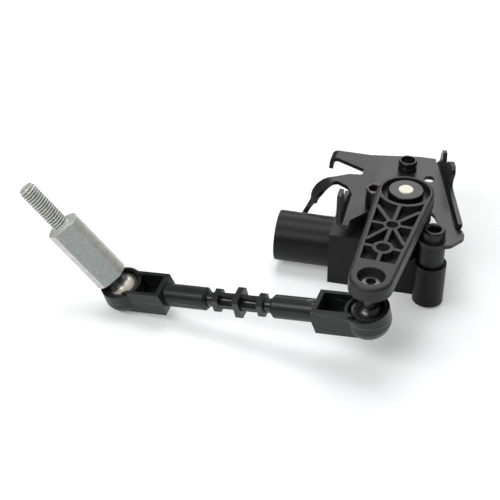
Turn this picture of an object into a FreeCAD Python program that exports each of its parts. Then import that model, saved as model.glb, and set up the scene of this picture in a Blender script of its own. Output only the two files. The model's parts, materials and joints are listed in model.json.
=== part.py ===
import FreeCAD, Part
import math
import os
from types import SimpleNamespace

import Sketcher
from FreeCAD import Placement, Rotation, Vector

# Ride height sensor: a sealed angle sensor under a folded steel bracket, with a ribbed lever on its
# shaft, and a drop link whose two ball sockets join the lever to a threaded ball stud with two flats.
# The origin is on the resting plane under the shaft, +Z is up the shaft, and the plug faces -X.

# Driving sizes in millimetres and degrees, each with what it sets
SIZES = [
    # Moulded housing
    ("body_left", 24.9, "shaft to the left wall"),
    ("body_right", 10.0, "shaft to the right wall"),
    ("body_front", 5.5, "shaft to the front wall"),
    ("body_back", 13.7, "shaft to the back wall"),
    ("body_height", 16.75, "height of the main body and of the right boss"),
    ("body_round", 2.5, "rounding of the body's right corners"),
    ("box_right", 5.5, "shaft to the right end of the raised plug base"),
    ("box_height", 20.7, "height of the raised plug base"),
    ("side_wall", 2.0, "thickness of the body's side walls"),
    ("cavity_roof", 14.5, "height of the cavity's ceiling"),
    ("ledge", 0.6, "width of the ledge that the circuit board rests against"),
    ("boss_radius", 5.4, "outside of a screw boss"),
    ("boss_foot", 0.9, "right boss above the resting plane"),
    ("screw_across", 11.4, "shaft to a screw, along X"),
    ("screw_along", 7.6, "shaft to a screw, along Y"),
    ("turret_radius", 8.6, "outside of the bearing turret"),
    ("turret_top", 34.0, "height of the bearing turret"),
    ("chin_radius", 5.4, "foot of the cone under the turret"),
    ("chin_drop", 4.0, "height of the cone under the turret"),
    # Plug socket
    ("socket_radius", 9.15, "outside of the plug socket"),
    ("socket_wall", 1.25, "wall of the plug socket"),
    ("socket_left", 45.0, "shaft to the socket's mouth"),
    ("socket_floor", 28.0, "shaft to the socket's floor"),
    ("socket_y", 4.1, "socket's axis behind the shaft"),
    ("socket_z", 11.0, "height of the socket's axis"),
    ("key_width", 2.4, "width of the plug key inside the socket"),
    ("key_depth", 1.3, "how far the plug key stands into the socket"),
    ("pin_width", 0.8, "side of a square terminal"),
    ("pin_pitch", 3.5, "terminal spacing along Y"),
    ("pin_rise", 1.6, "height of a terminal row above or below the socket's axis"),
    ("pin_reach", 8.0, "how far a terminal stands out of the socket's floor"),
    ("pin_leg_upper", 18.3, "shaft to the legs of the upper row"),
    ("pin_leg_lower", 20.8, "shaft to the legs of the lower row"),
    ("pin_tail", 0.5, "how far a leg passes below the board"),
    # Back cover and circuit board
    ("cover_sheet", 2.0, "thickness of the back cover"),
    ("cover_lip", 1.0, "width of the step that the cover rests in"),
    ("post_radius", 1.0, "posts of the cover that press on the board"),
    ("post_inset", 1.6, "cavity wall to a post's axis"),
    ("board_level", 8.0, "height of the board's upper face"),
    ("board_sheet", 1.6, "thickness of the board"),
    ("chip_length", 5.0, "length of the field sensor chip"),
    ("chip_width", 4.0, "width of the field sensor chip"),
    ("chip_height", 1.2, "height of the field sensor chip"),
    ("seat_clearance", 0.02, "play between pieces that are fixed together"),
    ("running_clearance", 0.05, "radial play of a turning fit"),
    ("free_gap", 0.3, "gap between pieces that pass each other"),
    # Shaft and its bearing
    ("shaft_radius", 2.65, "radius of the shaft"),
    ("shaft_proud", 0.25, "how far the shaft stands out of the hub cap"),
    ("magnet_radius", 3.15, "radius of the magnet holder"),
    ("magnet_height", 4.3, "height of the magnet holder"),
    ("magnet_floor", 1.4, "thickness of the magnet holder under the shaft"),
    ("bush_radius", 4.2, "outside of the bearing bush"),
    ("bush_low", 17.0, "height of the bush's lower end"),
    ("bush_high", 31.5, "height of the bush's upper end"),
    ("seal_radius", 5.5, "outside of the shaft seal"),
    ("seal_height", 2.2, "height of the shaft seal"),
    # Screws, inserts and spacers
    ("insert_radius", 3.6, "outside of a threaded insert"),
    ("insert_length", 12.2, "length of a threaded insert"),
    ("thread_radius", 2.4, "radius of a sensor screw's shank"),
    ("spacer_radius", 4.3, "outside of a spacer"),
    ("head_radius_right", 3.85, "right screw's head"),
    ("head_height_right", 3.75, "right screw's head"),
    ("head_radius_left", 3.25, "left screw's head"),
    ("head_height_left", 7.2, "left screw's head"),
    ("head_edge", 0.45, "chamfer round a screw head"),
    ("flange_radius_right", 4.15, "washer face of the right screw"),
    ("flange_sheet", 0.6, "washer face of the right screw"),
    ("key_flats", 4.0, "hexagon socket across flats"),
    ("key_depth_screw", 2.6, "depth of the hexagon socket"),
    ("key_mouth", 2.55, "mouth radius of the hexagon socket's chamfer"),
    # Folded bracket
    ("plate_low", 25.5, "height of the bracket plate's underside"),
    ("sheet", 1.5, "thickness of the bracket sheet"),
    ("notch_radius", 11.8, "notch round the turret"),
    ("land_right", 5.1, "land round the right screw"),
    ("land_left", 5.0, "land round the left screw"),
    ("fold_radius", 1.4, "inside radius of the folds"),
    ("tip_x", 12.3, "front tip of the plate, left of the shaft"),
    ("tip_y", 3.8, "front tip of the plate, behind the shaft"),
    ("nose_x", 17.6, "front right corner of the plate, right of the shaft"),
    ("nose_y", 10.6, "front right corner of the plate, before the shaft"),
    ("side_x", 21.9, "right corner of the plate, right of the shaft"),
    ("side_y", 4.6, "right corner of the plate, before the shaft"),
    ("nose_round", 3.0, "rounding of the plate's front right corners"),
    ("plate_back", 43.6, "shaft to the plate's back edge"),
    ("step_x", 17.7, "bend in the back edge, left of the shaft"),
    ("step_y", 40.6, "bend in the back edge, behind the shaft"),
    ("arm_root_y", 35.9, "near edge of the far arm at its fold"),
    ("vee_x", 18.7, "inner corner between arm and strap, left of the shaft"),
    ("vee_y", 30.2, "inner corner between arm and strap, behind the shaft"),
    ("vee_back", 26.3, "near end of that corner, behind the shaft"),
    ("vee_round", 1.0, "rounding of the plate's inner corners"),
    ("lobe_x", 23.4, "shoulder beside the strap, left of the shaft"),
    ("lobe_y", 25.7, "shoulder beside the strap, behind the shaft"),
    ("tab_x", 21.0, "shaft to the inner face of the front tab"),
    ("tab_front", 7.2, "shaft to the front end of the front tab"),
    ("tab_back", 11.5, "shaft to the back end of the front tab"),
    ("tab_height", 11.5, "front tab above the plate"),
    ("tab_crest", 4.9, "length of the front tab's top edge"),
    ("tab_knee_at", 6.9, "front end of the tab to its knee"),
    ("tab_knee", 5.0, "height of the tab's knee above the plate"),
    ("tab_toe_at", 12.5, "front end of the tab to its low back part"),
    ("tab_toe", 1.9, "height of the tab's low back part"),
    ("strap_x", 28.0, "far corner of the strap's root, left of the shaft"),
    ("strap_y", 22.9, "far corner of the strap's root, behind the shaft"),
    ("strap_yaw", 25.0, "turn of the strap towards the front"),
    ("strap_root_width", 3.3, "width of the strap at its root"),
    ("strap_width", 5.6, "greatest width of the strap"),
    ("strap_lead", 1.6, "flat part of the strap before it curls"),
    ("strap_curl", 6.8, "radius of the strap's curl, along its middle"),
    ("strap_turn", 92.0, "angle of the strap's curl"),
    ("strap_flare_radius", 3.0, "radius of the bend that flares the strap's tail"),
    ("strap_flare_turn", 30.0, "angle of the strap's flared tail"),
    ("strap_tail", 7.5, "straight end of the strap"),
    ("strap_tip", 1.1, "width of the strap's tip"),
    ("lip_x", 22.6, "edge between the strap and the front tab, left of the shaft"),
    ("lip_y", 17.4, "edge between the strap and the front tab, behind the shaft"),
    ("lip_round", 2.0, "rounding of that edge"),
    ("arm_tip_x", 32.5, "shaft to the outer face of the far arm's tip"),
    ("arm_curl", 1.7, "radius of the far arm's fold, along its middle"),
    ("arm_turn", 87.0, "angle of the far arm's fold"),
    ("arm_tail", 2.5, "straight end of the far arm"),
    ("arm_front", 35.4, "near edge of the far arm's tip"),
    ("arm_back", 41.0, "far edge of the far arm's tip"),
    ("rim_front_x", 18.8, "inner line of the side rim at its front end"),
    ("rim_front_y", 0.8, "front end of the side rim, before the shaft"),
    ("rim_back_x", 7.9, "inner line of the side rim at its back end"),
    ("rim_back_y", 41.5, "back end of the side rim"),
    ("rim_lean", 5.0, "outward lean of the side rim"),
    ("rim_low", 2.2, "height of the low part of the rim above the plate"),
    ("lug_front_height", 9.8, "front lug above the plate"),
    ("lug_notch_height", 2.7, "notch between the lugs above the plate"),
    ("lug_back_height", 5.9, "back lug above the plate"),
    ("locating_x", 5.5, "locating hole, right of the shaft"),
    ("locating_y", 29.0, "locating hole, behind the shaft"),
    ("locating_radius", 2.0, "locating hole"),
    ("nut_x", 3.2, "press nut, left of the shaft"),
    ("nut_y", 34.2, "press nut, behind the shaft"),
    ("nut_radius", 3.45, "outside of the press nut"),
    ("nut_height", 3.85, "press nut above the plate"),
    ("nut_bore", 2.5, "threaded hole of the press nut"),
    ("nut_shank", 3.0, "press nut's shank in the plate"),
    ("nut_groove", 0.35, "depth of the press nut's groove"),
    # Lever
    ("lever_turn", 4.5, "how far the lever is turned to the left of -Y"),
    ("lever_length", 50.5, "shaft to the lever's ball stud"),
    ("lever_low", 34.6, "height of the lever's underside"),
    ("lever_sheet", 5.0, "thickness of the lever"),
    ("hub_radius", 9.8, "outside of the lever's hub"),
    ("end_radius", 7.1, "outside of the lever's end"),
    ("lever_round", 1.1, "rounding of the lever's upper edge"),
    ("rim_width", 1.9, "rim beside the pockets"),
    ("pocket_depth", 3.2, "depth of the pockets between the ribs"),
    ("pocket_start", 9.7, "shaft to the near end of the pockets"),
    ("pocket_end", 42.3, "shaft to the far end of the pockets"),
    ("rib_width", 1.3, "width of a rib"),
    ("node_at", 21.3, "shaft to the rib node"),
    ("node_radius", 2.9, "outside of the rib node"),
    ("node_bore", 1.9, "hole of the rib node"),
    ("ring_at", 34.6, "shaft to the second ring"),
    ("ring_radius", 3.5, "outside of the second ring"),
    ("ring_bore", 2.15, "hole of the second ring"),
    ("fan_at", 31.5, "shaft to where the lower ribs meet the rims"),
    ("recess_radius", 8.3, "recess round the hub cap"),
    ("recess_depth", 2.6, "recess round the hub cap"),
    ("cap_radius", 6.1, "hub cap"),
    ("cap_proud", 0.5, "hub cap above the lever"),
    ("cap_round", 0.5, "rounding of the hub cap"),
    ("skirt_radius", 9.35, "outside of the skirt under the hub"),
    ("skirt_drop", 5.8, "depth of the skirt under the hub"),
    ("eye_radius", 4.45, "mouth of the pocket over the stud"),
    ("eye_foot", 3.75, "floor of the pocket over the stud"),
    ("eye_depth", 3.0, "depth of the pocket over the stud"),
    # Ball joints
    ("ball_radius", 5.0, "both balls"),
    ("neck_radius", 2.75, "neck of both studs"),
    ("ball_level", 23.9, "height of the lever's ball"),
    ("stud_shank", 3.0, "lever stud in the lever"),
    ("stud_collar", 4.1, "collar of the lever stud under the lever"),
    ("stud_collar_height", 1.6, "collar of the lever stud"),
    ("stud_head", 3.6, "riveted head of the lever stud"),
    ("stud_head_height", 0.8, "riveted head of the lever stud"),
    ("stud_key", 1.6, "radius of the recess in the riveted head"),
    ("seat_radius", 5.9, "outside of a ball seat"),
    ("seat_play", 0.08, "play between a ball, its seat and its socket"),
    ("seat_top", 2.2, "ball seat above the ball's centre"),
    ("seat_bottom", 4.6, "ball seat below the ball's centre"),
    # Drop link
    ("link_length", 89.5, "ball centre to ball centre"),
    ("link_yaw", -9.2, "turn of the link about Z"),
    ("link_pitch", 10.2, "rise of the link towards the lever"),
    ("link_roll", 8.0, "roll of the right end and the rod towards the front"),
    ("end_twist", 5.0, "how far the left end is twisted on the rod"),
    ("cup_radius", 7.3, "outside of a ball cup"),
    ("cup_top", 3.2, "top of a ball cup above the ball's centre"),
    ("cup_band", 2.2, "bottom of the cup's straight band below the centre"),
    ("dome_radius", 7.5, "dome under a ball cup"),
    ("dome_drop", 0.5, "centre of the dome below the ball's centre"),
    ("cup_mouth", 0.4, "chamfer inside the cup's mouth"),
    ("box_far", 17.8, "ball to the far face of the link end's box"),
    ("box_half", 5.25, "half the width of the box"),
    ("box_top", 4.2, "top of the box above the ball's centre"),
    ("box_low", 5.4, "bottom of the box below the ball's centre"),
    ("box_draft", 0.6, "draft of the box's far face"),
    ("box_wall", 1.25, "side wall of the box"),
    ("box_end_wall", 1.7, "far wall of the box"),
    ("box_floor", 3.3, "pocket floor below the ball's centre"),
    ("sleeve_radius", 3.95, "outside of a link sleeve"),
    ("neck_gap", 3.75, "bare rod between a sleeve and the outer flange"),
    ("sleeve_start", 19.0, "ball to the bottom of the sleeve's bore"),
    ("sleeve_edge", 0.8, "chamfer at a sleeve's end"),
    ("axis_drop", 0.5, "link axis below the ball centres"),
    ("rod_radius", 2.5, "round part of the link rod"),
    ("rib_reach", 3.1, "ribs of the link rod"),
    ("rib_sheet", 1.5, "ribs of the link rod"),
    ("cross_span", 8.1, "middle of the rod to an outer flange"),
    ("cross_sheet", 2.2, "thickness of a rod flange"),
    ("cross_small", 3.25, "half the size of an outer flange"),
    ("cross_large", 4.1, "half the size of the middle flange"),
    ("cross_cut", 1.0, "corner cut of a rod flange"),
    # Outer ball stud
    ("stud_lean", 24.8, "stud's lean from the socket's axis"),
    ("stud_bearing", 178.2, "direction of the stud's lean"),
    ("stud_spin", 134.9, "turn of the bar's flats about the stud's axis"),
    ("bar_radius", 6.0, "outside of the stud's bar"),
    ("bar_flats", 9.5, "bar across its two flats"),
    ("bar_start", 6.6, "ball to the bar"),
    ("bar_length", 25.7, "length of the bar"),
    ("bar_edge", 0.4, "chamfer of the bar's ends"),
    ("bolt_radius", 2.95, "radius of the stud's thread"),
    ("bolt_length", 18.4, "length of the stud's thread"),
    ("bolt_relief", 0.35, "undercut beside the bar"),
    ("bolt_relief_length", 1.0, "undercut beside the bar"),
    ("bolt_point", 0.9, "chamfer of the stud's tip"),
]

# Terminals in two rows of this many
PINS_IN_ROW = 3

class Term:
    """A size with the formula that ties it to the sheet's cells."""

    def __init__(self, number, text):
        self.number = number
        self.text = text

    def __add__(self, other):
        other = term(other)
        return Term(self.number + other.number, f"({self.text} + {other.text})")

    def __sub__(self, other):
        other = term(other)
        return Term(self.number - other.number, f"({self.text} - {other.text})")

    def __mul__(self, other):
        other = term(other)
        return Term(self.number * other.number, f"({self.text} * {other.text})")

    def __truediv__(self, other):
        other = term(other)
        return Term(self.number / other.number, f"({self.text} / {other.text})")

    def __radd__(self, other):
        return term(other) + self

    def __rsub__(self, other):
        return term(other) - self

    def __rmul__(self, other):
        return term(other) * self

    def __neg__(self):
        return term(0) - self


def term(size):
    """Return a plain number as a term, and a term as it is."""
    if isinstance(size, Term):
        return size
    return Term(float(size), f"({float(size)})")


def root(size):
    """Square root of a size."""
    return Term(math.sqrt(size.number), f"sqrt({size.text})")


def sine(angle):
    """Sine of an angle in degrees."""
    return Term(math.sin(math.radians(angle.number)), f"sin({angle.text})")


def cosine(angle):
    """Cosine of an angle in degrees."""
    return Term(math.cos(math.radians(angle.number)), f"cos({angle.text})")


doc = FreeCAD.newDocument("ride_height_sensor")
sheet = doc.addObject("Spreadsheet::Sheet", "Sizes")
for row, (alias, number, meaning) in enumerate(SIZES, start=1):
    sheet.set(f"A{row}", alias)
    sheet.set(f"B{row}", str(number))
    sheet.setAlias(f"B{row}", alias)
    sheet.set(f"C{row}", meaning)
doc.recompute()
s = SimpleNamespace(**{alias: Term(float(number), f"Sizes.{alias}") for alias, number, _ in SIZES})


# Building blocks: primitives, booleans and sketched bodies whose sizes are tied to the sheet

def move(piece, x=0, y=0, z=0):
    """Tie a piece's position to the sheet."""
    for letter, size in zip("xyz", (x, y, z)):
        piece.setExpression(f"Placement.Base.{letter}", term(size).text)
    return piece


def primitive(kind, name, **sizes):
    """Add a Part primitive with its sizes tied to the sheet."""
    piece = doc.addObject(kind, name)
    for setting, size in sizes.items():
        piece.setExpression(setting, term(size).text)
    return piece


def cylinder(name, radius, low, high, x=0, y=0):
    """Upright cylinder between two heights."""
    piece = primitive("Part::Cylinder", name, Radius=radius, Height=term(high) - low)
    return move(piece, x, y, low)


def lying_cylinder(name, radius, left, right, y=0, z=0):
    """Cylinder along X between two places."""
    piece = primitive("Part::Cylinder", name, Radius=radius, Height=term(right) - left)
    piece.Placement = Placement(Vector(), Rotation(Vector(0, 1, 0), 90))
    return move(piece, left, y, z)


def cone(name, radius_low, radius_high, low, high, x=0, y=0):
    """Upright cone between two heights."""
    piece = primitive("Part::Cone", name, Radius1=radius_low, Radius2=radius_high,
                      Height=term(high) - low)
    return move(piece, x, y, low)


def ball(name, radius):
    """Sphere about the piece's own origin."""
    return primitive("Part::Sphere", name, Radius=radius)


def block(name, across, along, up):
    """Box given by its low and high faces on X, Y and Z."""
    length, width, height = [term(high) - low for low, high in (across, along, up)]
    piece = primitive("Part::Box", name, Length=length, Width=width, Height=height)
    return move(piece, across[0], along[0], up[0])


def join(name, *pieces):
    """Fuse pieces into one solid."""
    whole = doc.addObject("Part::MultiFuse", name)
    whole.Shapes = list(pieces)
    whole.Refine = True
    return whole


def trim(name, base, *tools):
    """Cut tools out of a piece."""
    whole = doc.addObject("Part::Cut", name)
    whole.Base = base
    whole.Tool = tools[0] if len(tools) == 1 else join(name + "_tools", *tools)
    whole.Refine = True
    return whole


def overlap(name, *pieces):
    """Keep what all pieces share."""
    whole = doc.addObject("Part::MultiCommon", name)
    whole.Shapes = list(pieces)
    return whole


def own_plane(body, role):
    """One of a body's own origin planes."""
    return next(part for part in body.Origin.OriginFeatures if part.Role == role)


def tie_corner(sketch, kind, axis, index, size):
    """Tie one coordinate of a sketch corner to the sheet."""
    if size.number == 0:
        sketch.addConstraint(Sketcher.Constraint("PointOnObject", index, 1, axis))
        return
    place = sketch.addConstraint(Sketcher.Constraint(kind, -1, 1, index, 1, size.number))
    sketch.setExpression(f"Constraints[{place}]", size.text)


def new_sketch(body, name, role):
    """Empty sketch on one of a body's own planes."""
    sketch = body.newObject("Sketcher::SketchObject", name)
    sketch.AttachmentSupport = [(own_plane(body, role), "")]
    sketch.MapMode = "FlatFace"
    return sketch


def outline(body, name, role, corners):
    """Closed sketch of straight edges with every corner tied to the sheet."""
    sketch = new_sketch(body, name, role)
    corners = [(term(x), term(y)) for x, y in corners]
    spots = [Vector(x.number, y.number, 0) for x, y in corners]
    count = len(spots)
    for index in range(count):
        sketch.addGeometry(Part.LineSegment(spots[index], spots[(index + 1) % count]), False)
    for index in range(count):
        sketch.addConstraint(Sketcher.Constraint("Coincident", index, 2, (index + 1) % count, 1))
    for index, (x, y) in enumerate(corners):
        tie_corner(sketch, "DistanceX", -2, index, x)
        tie_corner(sketch, "DistanceY", -1, index, y)
    return sketch


def pad(body, sketch, length, backwards=False):
    """Pad a sketch by a length tied to the sheet."""
    feature = body.newObject("PartDesign::Pad", body.Name + "_pad")
    feature.Profile = sketch
    feature.Reversed = backwards
    feature.setExpression("Length", term(length).text)
    body.Tip = feature
    return feature


def slab(name, corners, low, high, role="XY_Plane"):
    """Flat-sided body: an outline on one plane, padded between two places across it."""
    body = doc.addObject("PartDesign::Body", name)
    sketch = outline(body, name + "_outline", role, corners)
    pad(body, sketch, term(high) - low, backwards=role == "XZ_Plane")
    letter = {"XY_Plane": "z", "XZ_Plane": "y", "YZ_Plane": "x"}[role]
    return move(body, **{letter: low})


def turned(name, profile):
    """Turned body about its own upright axis, from corners given as (radius, height)."""
    body = doc.addObject("PartDesign::Body", name)
    sketch = outline(body, name + "_profile", "XZ_Plane", profile)
    feature = body.newObject("PartDesign::Revolution", name + "_turn")
    feature.Profile = sketch
    feature.ReferenceAxis = (sketch, ["V_Axis"])
    feature.Angle = 360
    body.Tip = feature
    return body


def tube(name, outer, inner, low, high, x=0, y=0):
    """Turned ring between two heights."""
    body = turned(name, [(inner, low), (outer, low), (outer, high), (inner, high)])
    return move(body, x, y)


def hexagon(flats):
    """Corners of a hexagon by its size across flats."""
    reach = flats / root(term(3))
    steps = [term(60 * step) for step in range(6)]
    return [(reach * cosine(step), reach * sine(step)) for step in steps]


def rounded(name, base, radius, picks):
    """Round the edges that a test picks."""
    doc.recompute()
    soft = doc.addObject("Part::Fillet", name)
    soft.Base = base
    edges = enumerate(base.Shape.Edges, start=1)
    soft.Edges = [(index, radius.number, radius.number) for index, edge in edges if picks(edge)]
    return soft


def is_upright(edge):
    """Whether an edge runs along Z."""
    first, last = edge.Vertexes[0].Point, edge.Vertexes[-1].Point
    return abs(first.z - last.z) > 0.1 and math.hypot(first.x - last.x, first.y - last.y) < 1e-6


def is_level_at(edge, level):
    """Whether an edge lies at a height."""
    return all(abs(corner.Z - level) < 1e-6 for corner in edge.Vertexes)


def round_corners(name, base, corners):
    """Round upright edges that stand at the given corners, each by its own radius."""
    doc.recompute()
    soft = doc.addObject("Part::Fillet", name)
    soft.Base = base
    edges = []
    for index, edge in enumerate(base.Shape.Edges, start=1):
        spot = edge.Vertexes[0].Point
        for x, y, radius in corners:
            near = math.hypot(spot.x - x.number, spot.y - y.number) < 1e-6
            if radius and near and is_upright(edge):
                edges.append((index, radius.number, radius.number))
    soft.Edges = edges
    return soft


# Housing with its plug socket

def right_screw():
    """Right screw's axis."""
    return s.screw_across, -s.screw_along


def left_screw():
    """Left screw's axis."""
    return -s.screw_across, s.screw_along


def pin_places():
    """Each terminal's number, Y, height and leg distance."""
    places = []
    for level, leg in ((s.pin_rise, s.pin_leg_upper), (-s.pin_rise, s.pin_leg_lower)):
        for step in range(PINS_IN_ROW):
            y = s.socket_y + s.pin_pitch * (step - (PINS_IN_ROW - 1) / 2)
            places.append((len(places) + 1, y, s.socket_z + level, leg))
    return places


def cavity_box(name, inset, low, high, front_inset=0):
    """Box that follows the inside of the walls, pulled in by an inset."""
    left = s.side_wall - s.body_left + inset
    right = s.body_right - s.side_wall - inset
    front = s.side_wall - s.body_front + front_inset
    back = s.body_back - s.side_wall - inset
    return block(name, (left, right), (front, back), (low, high))


def make_housing():
    """Body, raised plug base, bosses, bearing turret and plug socket as one moulding."""
    corners = [(-s.body_left, -s.body_front), (s.body_right, -s.body_front),
               (s.body_right, s.body_back), (-s.body_left, s.body_back)]
    body = rounded("housing_body", slab("housing_block", corners, 0, s.body_height), s.body_round,
                   lambda edge: is_upright(edge) and edge.Vertexes[0].X > 0)
    box = block("plug_base", (-s.body_left, -s.box_right), (-s.body_front, s.body_back),
                (0, s.box_height))
    boss = cylinder("right_boss", s.boss_radius, s.boss_foot, s.body_height, *right_screw())
    chin = cone("turret_chin", s.chin_radius, s.turret_radius, s.body_height - s.chin_drop,
                s.body_height)
    turret = cylinder("turret", s.turret_radius, s.body_height, s.turret_top)
    socket = lying_cylinder("plug_socket", s.socket_radius, -s.socket_left,
                            s.side_wall - s.body_left, s.socket_y, s.socket_z)
    outside = join("housing_outside", body, box, boss, chin, turret, socket)

    column = cylinder("left_column", s.boss_radius, s.cover_sheet, s.cavity_roof, *left_screw())
    lower = cavity_box("lower_cavity", 0, s.cover_sheet, s.board_level)
    upper = cavity_box("upper_cavity", s.ledge, s.board_level, s.cavity_roof)
    cavity = trim("cavity", join("cavity_box", lower, upper), column)
    step = -s.cover_lip
    recess = cavity_box("cover_recess", step, 0, s.cover_sheet, step)
    mouth = lying_cylinder("socket_mouth", s.socket_radius - s.socket_wall, -s.socket_left,
                           -s.socket_floor, s.socket_y, s.socket_z)
    bore = cylinder("shaft_bore", s.shaft_radius + s.free_gap, s.cavity_roof, s.turret_top)
    bush_seat = cylinder("bush_seat", s.bush_radius, s.bush_low, s.turret_top)
    seal_seat = cylinder("seal_seat", s.seal_radius, s.bush_high, s.turret_top)
    right_hole = cylinder("right_insert_hole", s.insert_radius, s.body_height - s.insert_length,
                          s.body_height, *right_screw())
    left_hole = cylinder("left_insert_hole", s.insert_radius, s.box_height - s.insert_length,
                         s.box_height, *left_screw())
    half = s.pin_width / 2 + s.seat_clearance
    slots = [block(f"pin_slot_{index}", (-s.socket_floor, s.side_wall + s.ledge - s.body_left),
                   (y - half, y + half), (z - half, z + half))
             for index, y, z, _ in pin_places()]
    hollow = trim("housing_hollow", outside, cavity, recess, mouth, bore, bush_seat, seal_seat,
                  right_hole, left_hole, *slots)
    top = s.socket_z + s.socket_radius - s.socket_wall
    half_key = s.key_width / 2
    key = block("plug_key", (-s.socket_left + s.key_width, -s.socket_floor),
                (s.socket_y - half_key, s.socket_y + half_key),
                (top - s.key_depth, top + s.socket_wall / 2))
    return join("housing", hollow, key)


def make_back_cover():
    """Cover plate in its step, with posts that press on the board."""
    step = s.seat_clearance - s.cover_lip
    plate = cavity_box("cover_plate", step, 0, s.cover_sheet, step)
    left = s.side_wall - s.body_left + s.post_inset
    right = s.body_right - s.side_wall - s.post_inset
    front = s.side_wall - s.body_front + s.post_inset
    back = s.body_back - s.side_wall - s.post_inset
    spots = [(left, front), (right, front), (right, back), (left, back)]
    posts = [cylinder(f"cover_post_{index}", s.post_radius, s.cover_sheet / 2,
                      s.board_level - s.board_sheet, x, y)
             for index, (x, y) in enumerate(spots, start=1)]
    return join("back_cover", plate, *posts)


def make_circuit_board():
    """Board with a notch round the left boss, terminal holes and the field sensor chip."""
    low = s.board_level - s.board_sheet
    plate = cavity_box("board_plate", s.seat_clearance, low, s.board_level, s.seat_clearance)
    notch = cylinder("board_notch", s.boss_radius + s.free_gap, low, s.board_level, *left_screw())
    half = s.pin_width / 2 + s.seat_clearance
    holes = [block(f"board_hole_{index}", (-leg - half, half - leg), (y - half, y + half),
                   (low, s.board_level))
             for index, y, _, leg in pin_places()]
    chip = block("field_chip", (-s.chip_length / 2, s.chip_length / 2),
                 (-s.chip_width / 2, s.chip_width / 2),
                 (s.board_level, s.board_level + s.chip_height))
    return join("circuit_board", trim("board_blank", plate, notch, *holes), chip)


def make_terminal(index, y, z, leg):
    """Square pin from the plug socket to the board, bent down at its leg."""
    half = s.pin_width / 2
    across = (y - half, y + half)
    pin = block(f"pin_{index}", (s.pin_reach * -1 - s.socket_floor, half - leg), across,
                (z - half, z + half))
    foot = block(f"pin_leg_{index}", (-leg - half, half - leg), across,
                 (s.board_level - s.board_sheet - s.pin_tail, z + half))
    return join(f"terminal_{index}", pin, foot)


# Shaft, bearing and seal

def cap_top():
    """Height of the hub cap's top."""
    return s.lever_low + s.lever_sheet + s.cap_proud


def magnet_low():
    """Height of the magnet holder's underside."""
    return s.cavity_roof - s.free_gap - s.magnet_height


def make_shaft():
    """Shaft from the magnet holder up through the lever, with a flat domed end."""
    foot = magnet_low() + s.magnet_floor
    top = cap_top() + s.shaft_proud
    edge = s.shaft_proud
    return turned("shaft", [(0, foot), (s.shaft_radius, foot), (s.shaft_radius, top - edge),
                            (s.shaft_radius - edge, top), (0, top)])


def make_rotor_magnet():
    """Magnet holder on the shaft's lower end."""
    low = magnet_low()
    top = low + s.magnet_height
    bore = s.shaft_radius + s.seat_clearance
    return turned("rotor_magnet", [(0, low), (s.magnet_radius, low), (s.magnet_radius, top),
                                   (bore, top), (bore, low + s.magnet_floor),
                                   (0, low + s.magnet_floor)])


def make_bearing_bush():
    """Plain bush in the turret."""
    return tube("bearing_bush", s.bush_radius - s.seat_clearance,
                s.shaft_radius + s.running_clearance, s.bush_low, s.bush_high)


def make_shaft_seal():
    """Lip seal above the bush."""
    outer = s.seal_radius - s.seat_clearance
    inner = s.shaft_radius + s.running_clearance
    low = s.bush_high
    top = low + s.seal_height
    groove = (outer - inner) / 4
    return turned("shaft_seal", [(inner, low), (outer, low), (outer, top),
                                 (outer - groove, top), (inner + groove * 2, low + s.seal_height / 2),
                                 (inner + groove, top), (inner, top)])


# Inserts, spacers and screws

def make_insert(side, top, spot):
    """Knurled brass insert in a boss."""
    return tube(f"insert_{side}", s.insert_radius - s.seat_clearance,
                s.thread_radius + s.running_clearance, top - s.insert_length, top, *spot)


def make_spacer(side, foot, spot):
    """Steel spacer between the housing and the bracket."""
    return tube(f"spacer_{side}", s.spacer_radius, s.thread_radius + s.free_gap, foot,
                s.plate_low, *spot)


def hex_recess(name, top, spot):
    """Hexagon socket with a chamfered mouth, sunk from a height."""
    floor = top - s.key_depth_screw
    well = slab(name + "_well", hexagon(s.key_flats), floor, top)
    move(well, *spot, floor)
    drop = s.key_mouth - s.key_flats / 2
    mouth = cone(name + "_mouth", s.key_flats / 2, s.key_mouth, top - drop, top, *spot)
    return well, mouth


def make_screw(side, head_radius, head_height, foot, spot, flange=None):
    """Socket screw through the bracket, the spacer and the insert."""
    seat = s.plate_low + s.sheet
    top = seat + head_height
    profile = [(0, foot), (s.thread_radius, foot), (s.thread_radius, seat)]
    if flange:
        profile += [(flange, seat), (flange, seat + s.flange_sheet),
                    (head_radius, seat + s.flange_sheet)]
    else:
        profile += [(head_radius, seat)]
    profile += [(head_radius, top - s.head_edge), (head_radius - s.head_edge, top), (0, top)]
    blank = move(turned(f"screw_blank_{side}", profile), *spot)
    return trim(f"screw_{side}", blank, *hex_recess(f"screw_key_{side}", top, spot))


def make_press_nut():
    """Threaded press nut in the plate, with a groove round its waist."""
    low = s.plate_low
    seat = low + s.sheet
    top = seat + s.nut_height
    waist = seat + s.nut_height / 2
    half = s.nut_groove
    inner = s.nut_radius - s.nut_groove
    body = turned("press_nut", [
        (s.nut_bore, low), (s.nut_shank, low), (s.nut_shank, seat), (s.nut_radius, seat),
        (s.nut_radius, waist - half), (inner, waist - half), (inner, waist + half),
        (s.nut_radius, waist + half), (s.nut_radius, top - s.nut_groove), (inner, top),
        (s.nut_bore, top)])
    return move(body, -s.nut_x, s.nut_y)


# Folded steel bracket

def strip_face(name, path, sheet_size, depth):
    """Strip of sheet: a path in the XZ plane, thickened both ways and drawn out along Y."""
    half = sheet_size.number / 2
    wire = Part.Wire([piece.toShape() for piece in path])
    first = wire.makeOffset2D(half, 0, True, True)
    second = wire.makeOffset2D(-half, 0, True, True)
    strip = doc.addObject("Part::Feature", name)
    strip.Shape = first.fuse(second).removeSplitter().extrude(Vector(0, depth.number, 0))
    return strip


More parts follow.
